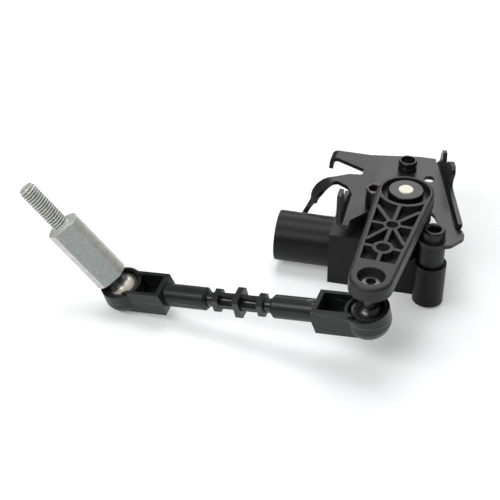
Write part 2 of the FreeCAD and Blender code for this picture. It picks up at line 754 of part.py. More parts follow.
def turn_path(start, heading, moves):
    """Follow straight runs and bends in the XZ plane from a start, heading in degrees from +X.

    Each move is (length, 0) for a straight run or (radius, turn) for a bend, turning left of the
    heading when positive.
    """
    path = []
    x, z = start
    for size, turn in moves:
        along = Vector(math.cos(math.radians(heading)), 0, math.sin(math.radians(heading)))
        spot = Vector(x, 0, z)
        if not turn:
            end = spot + along * size
            path.append(Part.LineSegment(spot, end))
        else:
            side = 1 if turn > 0 else -1
            left = Vector(-along.z, 0, along.x) * side
            centre = spot + left * size
            points = []
            for part in (0.5, 1.0):
                angle = math.radians(turn * part)
                arm = left * -1
                points.append(centre + Vector(arm.x * math.cos(angle) - arm.z * math.sin(angle), 0,
                                              arm.x * math.sin(angle) + arm.z * math.cos(angle)) * size)
            end = points[1]
            path.append(Part.Arc(spot, points[0], end))
            heading += turn
        x, z = end.x, end.z
    return path


def arm_root():
    """Shaft to where the far arm starts to fold."""
    return s.arm_tip_x - s.arm_curl - s.sheet / 2


def strap_corner(width):
    """Corner of the strap's root, by the width from its far corner."""
    return (width * sine(s.strap_yaw) - s.strap_x, s.strap_y - width * cosine(s.strap_yaw))


def plate_corners():
    """Corners of the bracket plate with their rounding, from the front tip to the front tab."""
    fold = s.fold_radius
    return [
        (-s.tip_x, s.tip_y, None),
        (term(0), s.tip_y, None),
        (s.screw_across, -s.screw_along, None),
        (s.screw_across, -s.screw_along - s.land_right, None),
        (s.nose_x, -s.nose_y, s.nose_round),
        (s.side_x, -s.side_y, s.nose_round),
        (s.rim_front_x + s.sheet, -s.rim_front_y, None),
        (s.rim_front_x - fold, -s.rim_front_y, None),
        (s.rim_back_x - fold, s.rim_back_y, None),
        (s.rim_back_x - fold, s.plate_back, s.vee_round),
        (term(0), s.plate_back, None),
        (-s.step_x, s.step_y, s.nose_round),
        (-arm_root(), s.arm_back, None),
        (-arm_root(), s.arm_root_y, None),
        (-s.vee_x, s.vee_y, s.vee_round),
        (-s.vee_x, s.vee_back, s.vee_round),
        (-s.lobe_x, s.lobe_y, s.lip_round),
        (-s.strap_x, s.strap_y, None),
        (*strap_corner(s.strap_root_width), None),
        (-s.lip_x, s.lip_y, s.lip_round),
        (fold - s.tab_x, s.tab_back, None),
        (fold - s.tab_x, fold - s.tab_front, None),
    ]


def make_plate():
    """Flat of the bracket with its notch, screw lands and holes."""
    low = s.plate_low
    top = s.plate_low + s.sheet
    corners = plate_corners()
    flat = slab("plate_blank", [(x, y) for x, y, _ in corners], low, top)
    soft = round_corners("plate_soft", flat, corners)
    notch = cylinder("turret_notch", s.notch_radius, low, top)
    open_plate = trim("plate_open", soft, notch)
    lands = [cylinder("land_right", s.land_right, low, top, *right_screw()),
             cylinder("land_left", s.land_left, low, top, *left_screw())]
    landed = join("plate_landed", open_plate, *lands)
    gap = cylinder("turret_gap", s.turret_radius + s.free_gap * 2, low, top)
    bore = s.thread_radius + s.free_gap
    holes = [cylinder("plate_hole_right", bore, low, top, *right_screw()),
             cylinder("plate_hole_left", bore, low, top, *left_screw()),
             cylinder("locating_hole", s.locating_radius, low, top, s.locating_x, s.locating_y),
             cylinder("press_nut_hole", s.nut_shank + s.seat_clearance, low, top, -s.nut_x, s.nut_y)]
    return trim("bracket_plate", landed, gap, *holes)


def make_front_tab():
    """Tab folded up at the front left, with a sloping back edge."""
    middle = s.sheet.number / 2
    bend = s.fold_radius.number + middle
    rise = s.tab_height.number - s.fold_radius.number
    start = (-s.tab_x.number + s.fold_radius.number + s.sheet.number,
             s.plate_low.number + middle)
    path = turn_path(start, 180, [(s.sheet.number, 0), (bend, -90), (rise, 0)])
    length = s.tab_back + s.tab_front
    strip = strip_face("tab_strip", path, s.sheet, length)
    strip.Placement = Placement(Vector(0, -s.tab_front.number, 0), Rotation())
    top = s.plate_low + s.sheet
    side = slab("tab_side", [(-s.tab_front, s.plate_low), (s.tab_back, s.plate_low),
                             (s.tab_back, top + s.tab_toe),
                             (s.tab_toe_at - s.tab_front, top + s.tab_toe),
                             (s.tab_knee_at - s.tab_front, top + s.tab_knee),
                             (s.tab_crest - s.tab_front, top + s.tab_height),
                             (-s.tab_front, top + s.tab_height)],
                -s.tab_x - s.sheet * 2, -s.tab_x + s.sheet * 3, "YZ_Plane")
    return overlap("front_tab", strip, side)


def make_strap():
    """Tapered strap curled down towards the plug socket, with a flared tail."""
    inside = s.sheet.number
    middle = s.sheet / 2
    path = turn_path((inside, middle.number), 180, [
        (inside + s.strap_lead.number, 0), (s.strap_curl.number, s.strap_turn.number),
        (s.strap_flare_radius.number, -s.strap_flare_turn.number), (s.strap_tail.number, 0)])
    strip = strip_face("strap_strip", path, s.sheet, s.strap_width)
    outer = s.strap_curl + middle
    wide = s.strap_width - s.strap_root_width
    root_side = slab("strap_root_side", [
        (s.sheet, -s.sheet), (s.sheet, wide), (-s.strap_lead, wide), (-outer * 0.55, wide * 0.4),
        (-outer * 0.8, 0), (-outer * 0.8, -s.sheet)], -outer * 3, s.sheet * 2)
    narrow = s.strap_width - s.strap_tip
    tail_side = slab("strap_tail_side", [
        (-s.sheet, -outer * 0.33), (0, -outer * 0.33), (narrow * 0.36, -outer * 0.87),
        (narrow * 0.86, -outer * 1.14), (narrow, -outer * 1.4), (narrow, -outer * 3),
        (-s.sheet, -outer * 3)], -outer * 3, s.sheet * 2, "YZ_Plane")
    strap = trim("curled_strap", strip, root_side, tail_side)
    x, y = strap_corner(s.strap_width)
    strap.Placement = Placement(Vector(x.number, y.number, s.plate_low.number),
                                Rotation(Vector(0, 0, 1), s.strap_yaw.number))
    return strap


def make_arm_tip():
    """Tip of the far arm, folded down."""
    start = (-arm_root().number + s.sheet.number, s.plate_low.number + s.sheet.number / 2)
    path = turn_path(start, 180, [(s.sheet.number, 0), (s.arm_curl.number, s.arm_turn.number),
                                  (s.arm_tail.number, 0)])
    strip = strip_face("arm_tip", path, s.sheet, s.arm_back - s.arm_front)
    strip.Placement = Placement(Vector(0, s.arm_front.number, 0), Rotation())
    return strip


def make_side_rim():
    """Rim folded up along the right edge, low in front and with two lugs at the back."""
    run_x = s.rim_back_x.number - s.rim_front_x.number
    run_y = s.rim_back_y.number + s.rim_front_y.number
    length = math.hypot(run_x, run_y)
    middle = s.sheet.number / 2
    bend = s.fold_radius.number + middle
    tallest = max(s.lug_front_height.number, s.lug_back_height.number)
    turn = 90 - s.rim_lean.number
    start = (-middle - s.fold_radius.number, s.plate_low.number + middle)
    path = turn_path(start, 0, [(middle, 0), (bend, turn), (tallest, 0)])
    depth = Term(length, f"({length})")
    strip = strip_face("rim_strip", path, s.sheet, depth)
    low = s.plate_low
    top = s.plate_low + s.sheet
    front, notch, back = s.lug_front_height, s.lug_notch_height, s.lug_back_height
    shape = [(0, low), (depth, low), (depth, top + back * 0.6), (depth * 0.975, top + back),
             (depth * 0.93, top + back), (depth * 0.875, top + notch), (depth * 0.845, top + notch),
             (depth * 0.79, top + front * 0.55), (depth * 0.71, top + front * 0.84),
             (depth * 0.635, top + front), (depth * 0.575, top + front),
             (depth * 0.545, top + front * 0.92), (depth * 0.53, top + front * 0.77),
             (depth * 0.55, top + front * 0.48), (depth * 0.545, top + s.rim_low * 1.3),
             (depth * 0.51, top + s.rim_low), (0, top + s.rim_low)]
    reach = s.lug_front_height + s.sheet * 2
    side = slab("rim_side", shape, -reach, reach, "YZ_Plane")
    rim = overlap("side_rim", strip, side)
    rim.Placement = Placement(Vector(s.rim_front_x.number, -s.rim_front_y.number, 0),
                              Rotation(Vector(0, 0, 1), math.degrees(math.atan2(run_y, run_x)) - 90))
    return rim


def make_bracket():
    """Bracket plate with its folded tab, strap, arm tip and rim."""
    return join("bracket", make_plate(), make_front_tab(), make_strap(), make_arm_tip(),
                make_side_rim())


# Lever, modelled along -Y and turned into place as a whole

def lever_outline(body):
    """Sketch of the lever: two round ends joined by straight tangents."""
    sketch = new_sketch(body, "lever_sketch", "XY_Plane")
    hub, end, length = s.hub_radius.number, s.end_radius.number, s.lever_length.number
    slope = math.asin((hub - end) / length)
    centre, far = Vector(0, 0, 0), Vector(0, -length, 0)
    right = Vector(math.cos(slope), -math.sin(slope), 0)
    left = Vector(-right.x, right.y, 0)
    up = Vector(0, 0, 1)
    half_turn = math.pi
    sketch.addGeometry(Part.ArcOfCircle(Part.Circle(centre, up, hub), -slope, half_turn + slope), False)
    sketch.addGeometry(Part.LineSegment(left * hub, far + left * end), False)
    sketch.addGeometry(Part.ArcOfCircle(Part.Circle(far, up, end), half_turn + slope,
                                        2 * half_turn - slope), False)
    sketch.addGeometry(Part.LineSegment(far + right * end, right * hub), False)
    for first, second in ((0, 1), (1, 2), (2, 3), (3, 0)):
        sketch.addConstraint(Sketcher.Constraint("Tangent", first, 2, second, 1))
    sketch.addConstraint(Sketcher.Constraint("Coincident", 0, 3, -1, 1))
    sketch.addConstraint(Sketcher.Constraint("PointOnObject", 2, 3, -2))
    for kind, geometry, size in (("Radius", 0, s.hub_radius), ("Radius", 2, s.end_radius)):
        place = sketch.addConstraint(Sketcher.Constraint(kind, geometry, size.number))
        sketch.setExpression(f"Constraints[{place}]", size.text)
    place = sketch.addConstraint(Sketcher.Constraint("DistanceY", 2, 3, -1, 1, length))
    sketch.setExpression(f"Constraints[{place}]", s.lever_length.text)
    return sketch


def rim_inside(at):
    """Half width between the rims at a distance from the shaft."""
    slope = (s.hub_radius - s.end_radius) / s.lever_length
    return (s.hub_radius - s.rim_width - slope * at) / root(1 - slope * slope)


def rib(name, start, end, low, high):
    """Straight rib between two points of the lever."""
    (x1, y1), (x2, y2) = [(term(x), term(y)) for x, y in (start, end)]
    run = (x2 - x1) * (x2 - x1) + (y2 - y1) * (y2 - y1)
    bar = primitive("Part::Box", name, Length=root(run), Width=s.rib_width, Height=high - low)
    angle = math.atan2(y2.number - y1.number, x2.number - x1.number)
    half = s.rib_width.number / 2
    corner = Vector(x1.number + half * math.sin(angle), y1.number - half * math.cos(angle), low.number)
    bar.Placement = Placement(corner, Rotation(Vector(0, 0, 1), math.degrees(angle)))
    return bar


def make_ribs(low, high):
    """Ribs and rings that stand in the lever's pockets."""
    node, ring = (0, -s.node_at), (0, -s.ring_at)
    fan = rim_inside(s.fan_at)
    beside = rim_inside(s.node_at)
    below = rim_inside(s.ring_at)
    corner_at = s.pocket_start + s.rib_width * 1.2
    corner = rim_inside(corner_at)
    lines = [
        (node, (0, -s.pocket_start * 0.8)),
        (node, (-corner, -corner_at)),
        (node, (corner, -corner_at)),
        (node, (-beside - s.rib_width, -s.node_at)),
        (node, (beside + s.rib_width, -s.node_at)),
        (node, (-fan, -s.fan_at)),
        (node, (fan, -s.fan_at)),
        (node, ring),
        (ring, (-below - s.rib_width, -s.ring_at)),
        (ring, (below + s.rib_width, -s.ring_at)),
        (ring, (0, -s.pocket_end - s.rib_width)),
    ]
    ribs = [rib(f"rib_{index}", start, end, low, high)
            for index, (start, end) in enumerate(lines, start=1)]
    rings = [cylinder("rib_node", s.node_radius, low, high, 0, -s.node_at),
             cylinder("rib_ring", s.ring_radius, low, high, 0, -s.ring_at)]
    return ribs + rings


def make_lever_arm():
    """Ribbed lever with its hub, skirt and end pocket."""
    low = s.lever_low
    top = s.lever_low + s.lever_sheet
    body = doc.addObject("PartDesign::Body", "lever_blank")
    pad(body, lever_outline(body), s.lever_sheet)
    move(body, z=low)
    soft = rounded("lever_soft", body, s.lever_round,
                   lambda edge: is_level_at(edge, top.number))
    floor = top - s.pocket_depth
    near = s.pocket_start / 2
    zone = slab("pocket_zone", [(-rim_inside(near), -near), (-rim_inside(s.pocket_end), -s.pocket_end),
                                (rim_inside(s.pocket_end), -s.pocket_end), (rim_inside(near), -near)],
                floor, top)
    hub_land = cylinder("hub_land", s.pocket_start, floor, top)
    pockets = trim("pockets", zone, hub_land, *make_ribs(floor, top))
    recess = cylinder("hub_recess", s.recess_radius, top - s.recess_depth, top)
    bore = cylinder("hub_bore", s.shaft_radius + s.seat_clearance, low, top)
    eye = cone("eye_pocket", s.eye_foot, s.eye_radius, top - s.eye_depth, top, 0, -s.lever_length)
    eye_bore = cylinder("eye_bore", s.stud_shank + s.seat_clearance, low, top, 0, -s.lever_length)
    node_bore = cylinder("node_hole", s.node_bore, low, top, 0, -s.node_at)
    ring_bore = cylinder("ring_hole", s.ring_bore, low, top, 0, -s.ring_at)
    arm = trim("lever_plain", soft, pockets, recess, bore, eye, eye_bore, node_bore, ring_bore)
    skirt = tube("hub_skirt", s.skirt_radius, s.turret_radius + s.free_gap, low - s.skirt_drop,
                 low + s.free_gap)
    return join("lever_arm", arm, skirt)


def make_hub_cap():
    """Cap that clamps the lever on the shaft."""
    low = s.lever_low + s.lever_sheet - s.recess_depth
    ring = tube("hub_cap_ring", s.cap_radius, s.shaft_radius + s.seat_clearance, low, cap_top())
    outer = s.cap_radius.number
    return rounded("hub_cap", ring, s.cap_round,
                   lambda edge: is_level_at(edge, cap_top().number)
                   and edge.Vertexes[0].Point.x ** 2 + edge.Vertexes[0].Point.y ** 2 > outer ** 2 / 2)


def make_lever_ball_stud():
    """Ball stud riveted into the lever's end."""
    low = s.lever_low
    seat = s.lever_low + s.lever_sheet - s.eye_depth
    head = seat + s.stud_head_height
    shank = turned("lever_stud_shank", [
        (0, s.ball_level), (s.neck_radius, s.ball_level),
        (s.neck_radius, low - s.stud_collar_height * 1.6),
        (s.stud_collar, low - s.stud_collar_height), (s.stud_collar, low), (s.stud_shank, low),
        (s.stud_shank, seat), (s.stud_head, seat), (s.stud_shank, head),
        (s.stud_key, head), (s.stud_key, seat - s.stud_head_height), (0, seat - s.stud_head_height)])
    round_ball = move(ball("lever_ball", s.ball_radius), z=s.ball_level)
    return join("lever_ball_stud", shank, round_ball)


# Ball seats and drop link, modelled about their ball centres with the link along +X

def make_ball_seat(side):
    """Plastic seat between a ball and its cup."""
    shell = trim(f"seat_shell_{side}", ball(f"seat_outer_{side}", s.seat_radius),
                 ball(f"seat_inner_{side}", s.ball_radius + s.seat_play))
    band = cylinder(f"seat_band_{side}", s.cup_radius, -s.seat_bottom, s.seat_top)
    return overlap(f"ball_seat_{side}", shell, band)


def sleeve_end():
    """Ball to the end of a sleeve."""
    return s.link_length / 2 - s.cross_span - s.neck_gap


def make_link_end(side):
    """Ball cup, open-topped box and sleeve as one moulding."""
    bore = s.seat_radius + s.seat_play
    band = cylinder(f"cup_band_{side}", s.cup_radius, -s.cup_band, s.cup_top)
    dome = overlap(f"cup_dome_{side}", move(ball(f"cup_ball_{side}", s.dome_radius), z=-s.dome_drop),
                   cylinder(f"cup_low_{side}", s.dome_radius, -s.dome_radius * 2, -s.cup_band))
    middle = (s.box_top - s.box_low) / 2
    near_face = s.box_far - s.box_draft
    box = slab(f"box_outside_{side}", [(0, s.box_top), (near_face, s.box_top), (s.box_far, middle),
                                       (near_face, -s.box_low), (0, -s.box_low)],
               -s.box_half, s.box_half, "XZ_Plane")
    inner = s.box_half - s.box_wall
    pocket = block(f"box_pocket_{side}", (0, near_face - s.box_end_wall), (-inner, inner),
                   (-s.box_floor, s.box_top))
    frame = trim(f"box_frame_{side}", box, pocket)
    sleeve = lying_cylinder(f"sleeve_tube_{side}", s.sleeve_radius, near_face - s.box_end_wall,
                            sleeve_end() - s.sleeve_edge, 0, -s.axis_drop)
    tip = primitive("Part::Cone", f"sleeve_tip_{side}", Radius1=s.sleeve_radius,
                    Radius2=s.sleeve_radius - s.sleeve_edge, Height=s.sleeve_edge)
    tip.Placement = Placement(Vector(), Rotation(Vector(0, 1, 0), 90))
    move(tip, sleeve_end() - s.sleeve_edge, 0, -s.axis_drop)
    outside = join(f"link_outside_{side}", band, dome, frame, sleeve, tip)
    cup = [ball(f"cup_bore_{side}", bore), cylinder(f"cup_well_{side}", bore, 0, s.box_top),
           cone(f"cup_mouth_{side}", bore, bore + s.cup_mouth, s.cup_top - s.cup_mouth, s.cup_top)]
    rod_hole = lying_cylinder(f"sleeve_bore_{side}", s.rod_radius + s.seat_clearance,
                              s.sleeve_start, sleeve_end(), 0, -s.axis_drop)
    return trim(f"link_end_{side}", outside, *cup, rod_hole)


def cross_plate(name, middle, half):
    """Square flange of the rod with cut corners."""
    cut = half - s.cross_cut
    corners = [(half, cut), (cut, half), (-cut, half), (-half, cut),
               (-half, -cut), (-cut, -half), (cut, -half), (half, -cut)]
    corners = [(y, z - s.axis_drop) for y, z in corners]
    return slab(name, corners, middle - s.cross_sheet / 2, middle + s.cross_sheet / 2, "YZ_Plane")


def make_link_rod():
    """Rod between the sleeves with cross ribs and three flanges."""
    middle = -s.link_length / 2
    left = s.sleeve_start - s.link_length
    core = lying_cylinder("rod_core", s.rod_radius, left, -s.sleeve_start, 0, -s.axis_drop)
    ends = (middle - s.cross_span, middle + s.cross_span)
    half = s.rib_sheet / 2
    flat = block("rod_rib_flat", ends, (-s.rib_reach, s.rib_reach), (-half - s.axis_drop, half - s.axis_drop))
    upright = block("rod_rib_upright", ends, (-half, half),
                    (-s.rib_reach - s.axis_drop, s.rib_reach - s.axis_drop))
    waist_radius = s.rod_radius - s.rib_sheet / 2
    groove = trim("rod_groove", lying_cylinder("rod_groove_outer", s.rod_radius * 2, *ends, 0, -s.axis_drop),
                  lying_cylinder("rod_groove_inner", waist_radius, *ends, 0, -s.axis_drop))
    plates = [cross_plate("rod_flange_left", ends[0], s.cross_small),
              cross_plate("rod_flange_middle", middle, s.cross_large),
              cross_plate("rod_flange_right", ends[1], s.cross_small)]
    return join("link_rod", trim("rod_slim", core, groove), flat, upright, *plates)


def make_outer_ball_stud():
    """Ball stud with a long bar that has two flats, and a threaded end."""
    top = s.bar_start + s.bar_length
    tip = top + s.bolt_length
    relief = s.bolt_radius - s.bolt_relief
    edge = s.bar_edge
    shank = turned("outer_stud_shank", [
        (0, 0), (s.neck_radius, 0), (s.neck_radius, s.bar_start),
        (s.bar_radius - edge, s.bar_start), (s.bar_radius, s.bar_start + edge),
        (s.bar_radius, top - edge), (s.bar_radius - edge, top), (relief, top),
        (relief, top + s.bolt_relief_length),
        (s.bolt_radius, top + s.bolt_relief_length + s.bolt_relief), (s.bolt_radius, tip - s.bolt_point),
        (s.bolt_radius - s.bolt_point, tip), (0, tip)])
    half = s.bar_flats / 2
    sides = [block("bar_flat_left", (-s.bar_radius, -half), (-s.bar_radius, s.bar_radius),
                   (s.bar_start, top)),
             block("bar_flat_right", (half, s.bar_radius), (-s.bar_radius, s.bar_radius),
                   (s.bar_start, top))]
    return join("outer_ball_stud", trim("outer_stud_bar", shank, *sides),
                ball("outer_ball", s.ball_radius))


# Places of the moving pieces at rest

def lever_place():
    """The lever turned about the shaft."""
    return Placement(Vector(), Rotation(Vector(0, 0, 1), -s.lever_turn.number))


def lever_ball_centre():
    """Centre of the lever's ball."""
    return lever_place().multVec(Vector(0, -s.lever_length.number, s.ball_level.number))


def link_place():
    """Link frame: origin at the lever's ball, +X away from the far ball."""
    turn = Rotation(s.link_yaw.number, -s.link_pitch.number, s.link_roll.number)
    return Placement(lever_ball_centre(), turn)


def far_ball_place():
    """Link frame moved to the far ball, with that end's twist on the rod."""
    twist = Rotation(Vector(1, 0, 0), s.end_twist.number)
    drop = Vector(0, 0, -s.axis_drop.number)
    far = Placement(Vector(-s.link_length.number, 0, 0), Rotation())
    return link_place() * far * Placement(drop, Rotation()) * Placement(twist.multVec(-drop), twist)


def build():
    """Make every sub-part, keyed by its name."""
    pieces = {
        "housing": make_housing(),
        "back_cover": make_back_cover(),
        "circuit_board": make_circuit_board(),
        "shaft": make_shaft(),
        "rotor_magnet": make_rotor_magnet(),
        "bearing_bush": make_bearing_bush(),
        "shaft_seal": make_shaft_seal(),
        "insert_right": make_insert("right", s.body_height, right_screw()),
        "insert_left": make_insert("left", s.box_height, left_screw()),
        "spacer_right": make_spacer("right", s.body_height, right_screw()),
        "spacer_left": make_spacer("left", s.box_height, left_screw()),
        "bracket": make_bracket(),
        "screw_right": make_screw("right", s.head_radius_right, s.head_height_right,
                                  s.body_height - s.insert_length, right_screw(),
                                  s.flange_radius_right),
        "screw_left": make_screw("left", s.head_radius_left, s.head_height_left,
                                 s.box_height - s.insert_length, left_screw()),
        "press_nut": make_press_nut(),
        "lever_arm": make_lever_arm(),
        "hub_cap": make_hub_cap(),
        "lever_ball_stud": make_lever_ball_stud(),
        "ball_seat_right": make_ball_seat("right"),
        "link_end_right": make_link_end("right"),
        "link_rod": make_link_rod(),
        "link_end_left": make_link_end("left"),
        "ball_seat_left": make_ball_seat("left"),
        "outer_ball_stud": make_outer_ball_stud(),
    }
    for index, y, z, leg in pin_places():
        pieces[f"terminal_{index}"] = make_terminal(index, y, z, leg)
    return pieces


def place(pieces):
    """Put the moving pieces where they are at rest."""
    half_turn = Rotation(Vector(0, 0, 1), 180)
    up, across = Vector(0, 0, 1), Vector(0, 1, 0)
    lean = Rotation(up, s.stud_bearing.number) * Rotation(across, s.stud_lean.number)
    spin = Rotation(up, s.stud_spin.number)
    stud_place = Placement(Vector(0, -s.lever_length.number, 0), Rotation())
    places = {
        "lever_arm": lever_place(),
        "hub_cap": lever_place(),
        "lever_ball_stud": lever_place() * stud_place,
        "ball_seat_right": Placement(lever_ball_centre(), Rotation()),
        "link_end_right": link_place() * Placement(Vector(), half_turn),
        "link_rod": link_place(),
        "link_end_left": far_ball_place(),
        "ball_seat_left": far_ball_place(),
        "outer_ball_stud": far_ball_place() * Placement(Vector(), lean * spin),
    }
    for name, spot in places.items():
        pieces[name].Placement = spot


def check(pieces):
    """Stop if any object failed or any sub-part isn't one sound solid."""
    for item in doc.Objects:
        if "Invalid" in item.State or "Error" in item.State:
            raise RuntimeError(f"{item.Name} failed: {item.State}")
    for name, piece in pieces.items():
        shape = piece.Shape
        if shape.isNull() or not shape.isValid() or len(shape.Solids) != 1:
            raise RuntimeError(f"{name} isn't one sound solid: {len(shape.Solids)} solids")


def main():
    pieces = build()
    doc.recompute()
    place(pieces)
    doc.recompute()
    for name, piece in pieces.items():
        piece.Label = name
    check(pieces)
    os.makedirs("parts", exist_ok=True)
    for name, piece in pieces.items():
        solid = piece.Shape.Solids[0]
        solid.exportStep(os.path.join("parts", f"{name}.step"))
        low, high = solid.BoundBox, solid.BoundBox
        print(f"{name}: {solid.Volume:.1f} mm3, x {low.XMin:.2f} to {high.XMax:.2f}, "
              f"y {low.YMin:.2f} to {high.YMax:.2f}, z {low.ZMin:.2f} to {high.ZMax:.2f}")


main()
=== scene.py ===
import json
import math

import bmesh
import bpy
from bpy.props import FloatProperty, FloatVectorProperty, PointerProperty
from mathutils import Matrix, Vector


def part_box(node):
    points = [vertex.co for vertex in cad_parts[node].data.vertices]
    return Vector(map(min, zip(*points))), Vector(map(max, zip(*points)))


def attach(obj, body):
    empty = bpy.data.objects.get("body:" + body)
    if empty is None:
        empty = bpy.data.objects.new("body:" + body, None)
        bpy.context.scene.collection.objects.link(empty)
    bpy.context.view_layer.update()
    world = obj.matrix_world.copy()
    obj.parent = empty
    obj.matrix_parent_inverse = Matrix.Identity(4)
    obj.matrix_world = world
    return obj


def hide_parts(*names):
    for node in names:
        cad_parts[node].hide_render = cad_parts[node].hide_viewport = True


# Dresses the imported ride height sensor: finishes for every solid, softened edges, the threaded
# ball stud, and the stage. Lengths are metres in the part's own frame, and millimetres where a
# name ends in mm and inside the finishes.

bl_info = {
    "name": "Ride Height Sensor Looks",
    "version": (1, 0, 0),
    "blender": (4, 5, 0),
    "location": "3D View > Sidebar > Sensor",
    "description": "Finishes, edges and stage for the ride height sensor",
    "category": "Object",
}

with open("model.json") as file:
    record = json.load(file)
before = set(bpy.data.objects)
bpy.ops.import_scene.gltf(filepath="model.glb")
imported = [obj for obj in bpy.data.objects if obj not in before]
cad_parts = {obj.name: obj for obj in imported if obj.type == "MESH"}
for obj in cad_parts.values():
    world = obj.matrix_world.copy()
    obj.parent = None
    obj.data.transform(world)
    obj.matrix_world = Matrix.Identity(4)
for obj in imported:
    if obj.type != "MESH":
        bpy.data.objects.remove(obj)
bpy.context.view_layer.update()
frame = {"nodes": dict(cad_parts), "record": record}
RECORD = frame["record"]
MM = 0.001

TERMINALS = [f"terminal_{index}" for index in range(1, 7)]
WHITE = (1.0, 1.0, 1.0)
BLACK_ZINC = (0.012, 0.012, 0.013)

# Painted light: how much lighter the stud's round sides are painted than its flats, for each of the
# three colours
BAND_LIGHT_GAIN = (1.52, 1.46, 1.38)

# Where one finish changes into another along X; the second is where the bracket's painted shade on
# the strap's side ends
LINK_MIDDLE_MM = (-50, -44)
STRAP_SHADE_EDGE_MM = (-15, -11)

# The left screw's rim that is worn bare, as inner and outer radius and depth below its top
WORN_RIM_MM = (2.3, 3.2)
WORN_DEPTH_MM = 0.5

# Edges sharper than these angles are rounded
EDGE_ANGLE = math.radians(32)
STUD_EDGE_ANGLE = math.radians(38)
NORMAL_WEIGHT = 100
WELD_MM = 0.002

# Steps of the stud's mesh: along the ball and the tip, in one turn of thread, and round the bar
BALL_STEPS = 24
TIP_STEPS = 6
THREAD_STEPS = 14
FLAT_STEPS = 12
ROUND_STEPS = 20

# The thread runs out above the bar and tapers into a rounded tip
RUNOUT_GAP = 0.4 * MM
RUNOUT = 0.6 * MM
TIP_TAPER = 1.0 * MM
TIP_ROUND = 0.7 * MM
TIP_FULLNESS = 0.45

# The sky is brightest this way, and starts to brighten at this cosine from it
SKY_WAY = (0.20, 0.20, 0.95)
SKY_RISE_FROM = 0.45
SENSOR_WIDTH_MM = 36.0


def joint(name):
    """The record's entry for one joint."""
    return next(entry for entry in RECORD["behaviour"]["joints"] if entry["name"] == name)


def mount(name):
    """The record's entry for one mount."""
    return next(entry for entry in RECORD["mounts"] if entry["name"] == name)


# Sizes and colours that a user would change

class StudSettings(bpy.types.PropertyGroup):
    """Sizes of the outer ball stud, along its axis from the ball's centre."""

    ball_radius: FloatProperty(name="Ball", description="Radius of the ball", default=5.0 * MM,
                               unit="LENGTH", precision=5)
    neck_radius: FloatProperty(name="Neck", description="Radius of the neck", default=2.75 * MM,
                               unit="LENGTH", precision=5)
    bar_radius: FloatProperty(name="Bar", description="Radius of the round bar", default=5.98 * MM,
                              unit="LENGTH", precision=5)
    bar_flats: FloatProperty(name="Flats", description="Bar across its two flats", default=9.5 * MM,
                             unit="LENGTH", precision=5)
    bar_start: FloatProperty(name="Bar start", description="Ball to the bar", default=6.6 * MM,
                             unit="LENGTH", precision=5)
    bar_end: FloatProperty(name="Bar end", description="Ball to the bar's far end",
                           default=32.3 * MM, unit="LENGTH", precision=5)
    tip: FloatProperty(name="Tip", description="Ball to the thread's tip", default=50.7 * MM,
                       unit="LENGTH", precision=5)
    thread_radius: FloatProperty(name="Thread", description="Outside radius of the thread",
                                 default=2.95 * MM, unit="LENGTH", precision=5)
    thread_depth: FloatProperty(name="Depth", description="Depth of the thread", default=0.5 * MM,
                                unit="LENGTH", precision=5)
    thread_pitch: FloatProperty(name="Pitch", description="Rise of one turn of the thread",
                                default=1.0 * MM, unit="LENGTH", precision=5)
    flat_facing: FloatVectorProperty(name="Flat", description="Way that the seen flat faces",
                                     default=(0.457, -0.859, 0.229), subtype="DIRECTION")
    zinc: FloatVectorProperty(name="Zinc", description="Colour of the zinc plating",
                              default=(0.47, 0.50, 0.485), subtype="COLOR")
    zinc_dark: FloatVectorProperty(name="Zinc marks", description="Colour of the mottling",
                                   default=(0.13, 0.145, 0.14), subtype="COLOR")


class FinishSettings(bpy.types.PropertyGroup):
    """Colours of the finishes."""

    housing: FloatVectorProperty(name="Housing", description="Moulded housing", subtype="COLOR",
                                 default=(0.0075, 0.0075, 0.008))
    bracket: FloatVectorProperty(name="Bracket", description="Dip coat of the bracket",
                                 subtype="COLOR", default=(0.012, 0.012, 0.012))
    lever: FloatVectorProperty(name="Lever", description="Glass filled lever", subtype="COLOR",
                               default=(0.020, 0.020, 0.0205))
    link: FloatVectorProperty(name="Link", description="Moulded link ends", subtype="COLOR",
                              default=(0.009, 0.0095, 0.010))
    cap: FloatVectorProperty(name="Cap", description="Hub cap", subtype="COLOR",
                             default=(0.005, 0.005, 0.005))
    ivory: FloatVectorProperty(name="Shaft end", description="Ivory end of the shaft",
                               subtype="COLOR", default=(0.75, 0.72, 0.61))
    worn_steel: FloatVectorProperty(name="Worn steel", description="Bare rim of the left screw",
                                    subtype="COLOR", default=(0.16, 0.125, 0.11))
    # Pale cream of the outer ball: painted reflection of its polished steel under a greasy film
    grease_and_reflection: FloatVectorProperty(name="Grease", description="Grease on the outer ball",
                                subtype="COLOR", default=(0.74, 0.66, 0.57))


class StageSettings(bpy.types.PropertyGroup):
    """Camera and lamps."""

    camera_place: FloatVectorProperty(name="Camera", description="Place of the camera",
                                      default=(0.0307, -0.3531, 0.2692), subtype="TRANSLATION")
    camera_target: FloatVectorProperty(name="Target", description="Point that the camera faces",
                                       default=(-0.0564, 0.0070, 0.0), subtype="TRANSLATION")
    lens: FloatProperty(name="Lens", description="Focal length in millimetres on a 36 mm sensor",
                        default=88.4)
    floor_light: FloatProperty(name="Floor", description="Light that the floor adds to its own",
                               default=0.25)
    sky: FloatProperty(name="Sky", description="Strength of the sky on its bright side",
                       default=0.65)
    sky_dark: FloatProperty(name="Dark side", description="Strength of the sky on its dark side",
                            default=0.05)
    top_power: FloatProperty(name="Top", description="Power of the top softbox in watts",
                             default=1.25)
    front_power: FloatProperty(name="Front", description="Power of the front softbox in watts",
                               default=1.7)
    back_power: FloatProperty(name="Back", description="Power of the back softbox in watts",
                              default=1.9)
    floor_half: FloatProperty(name="Floor size", description="Half the floor's side", default=2.0,
                              unit="LENGTH")


# Finishes

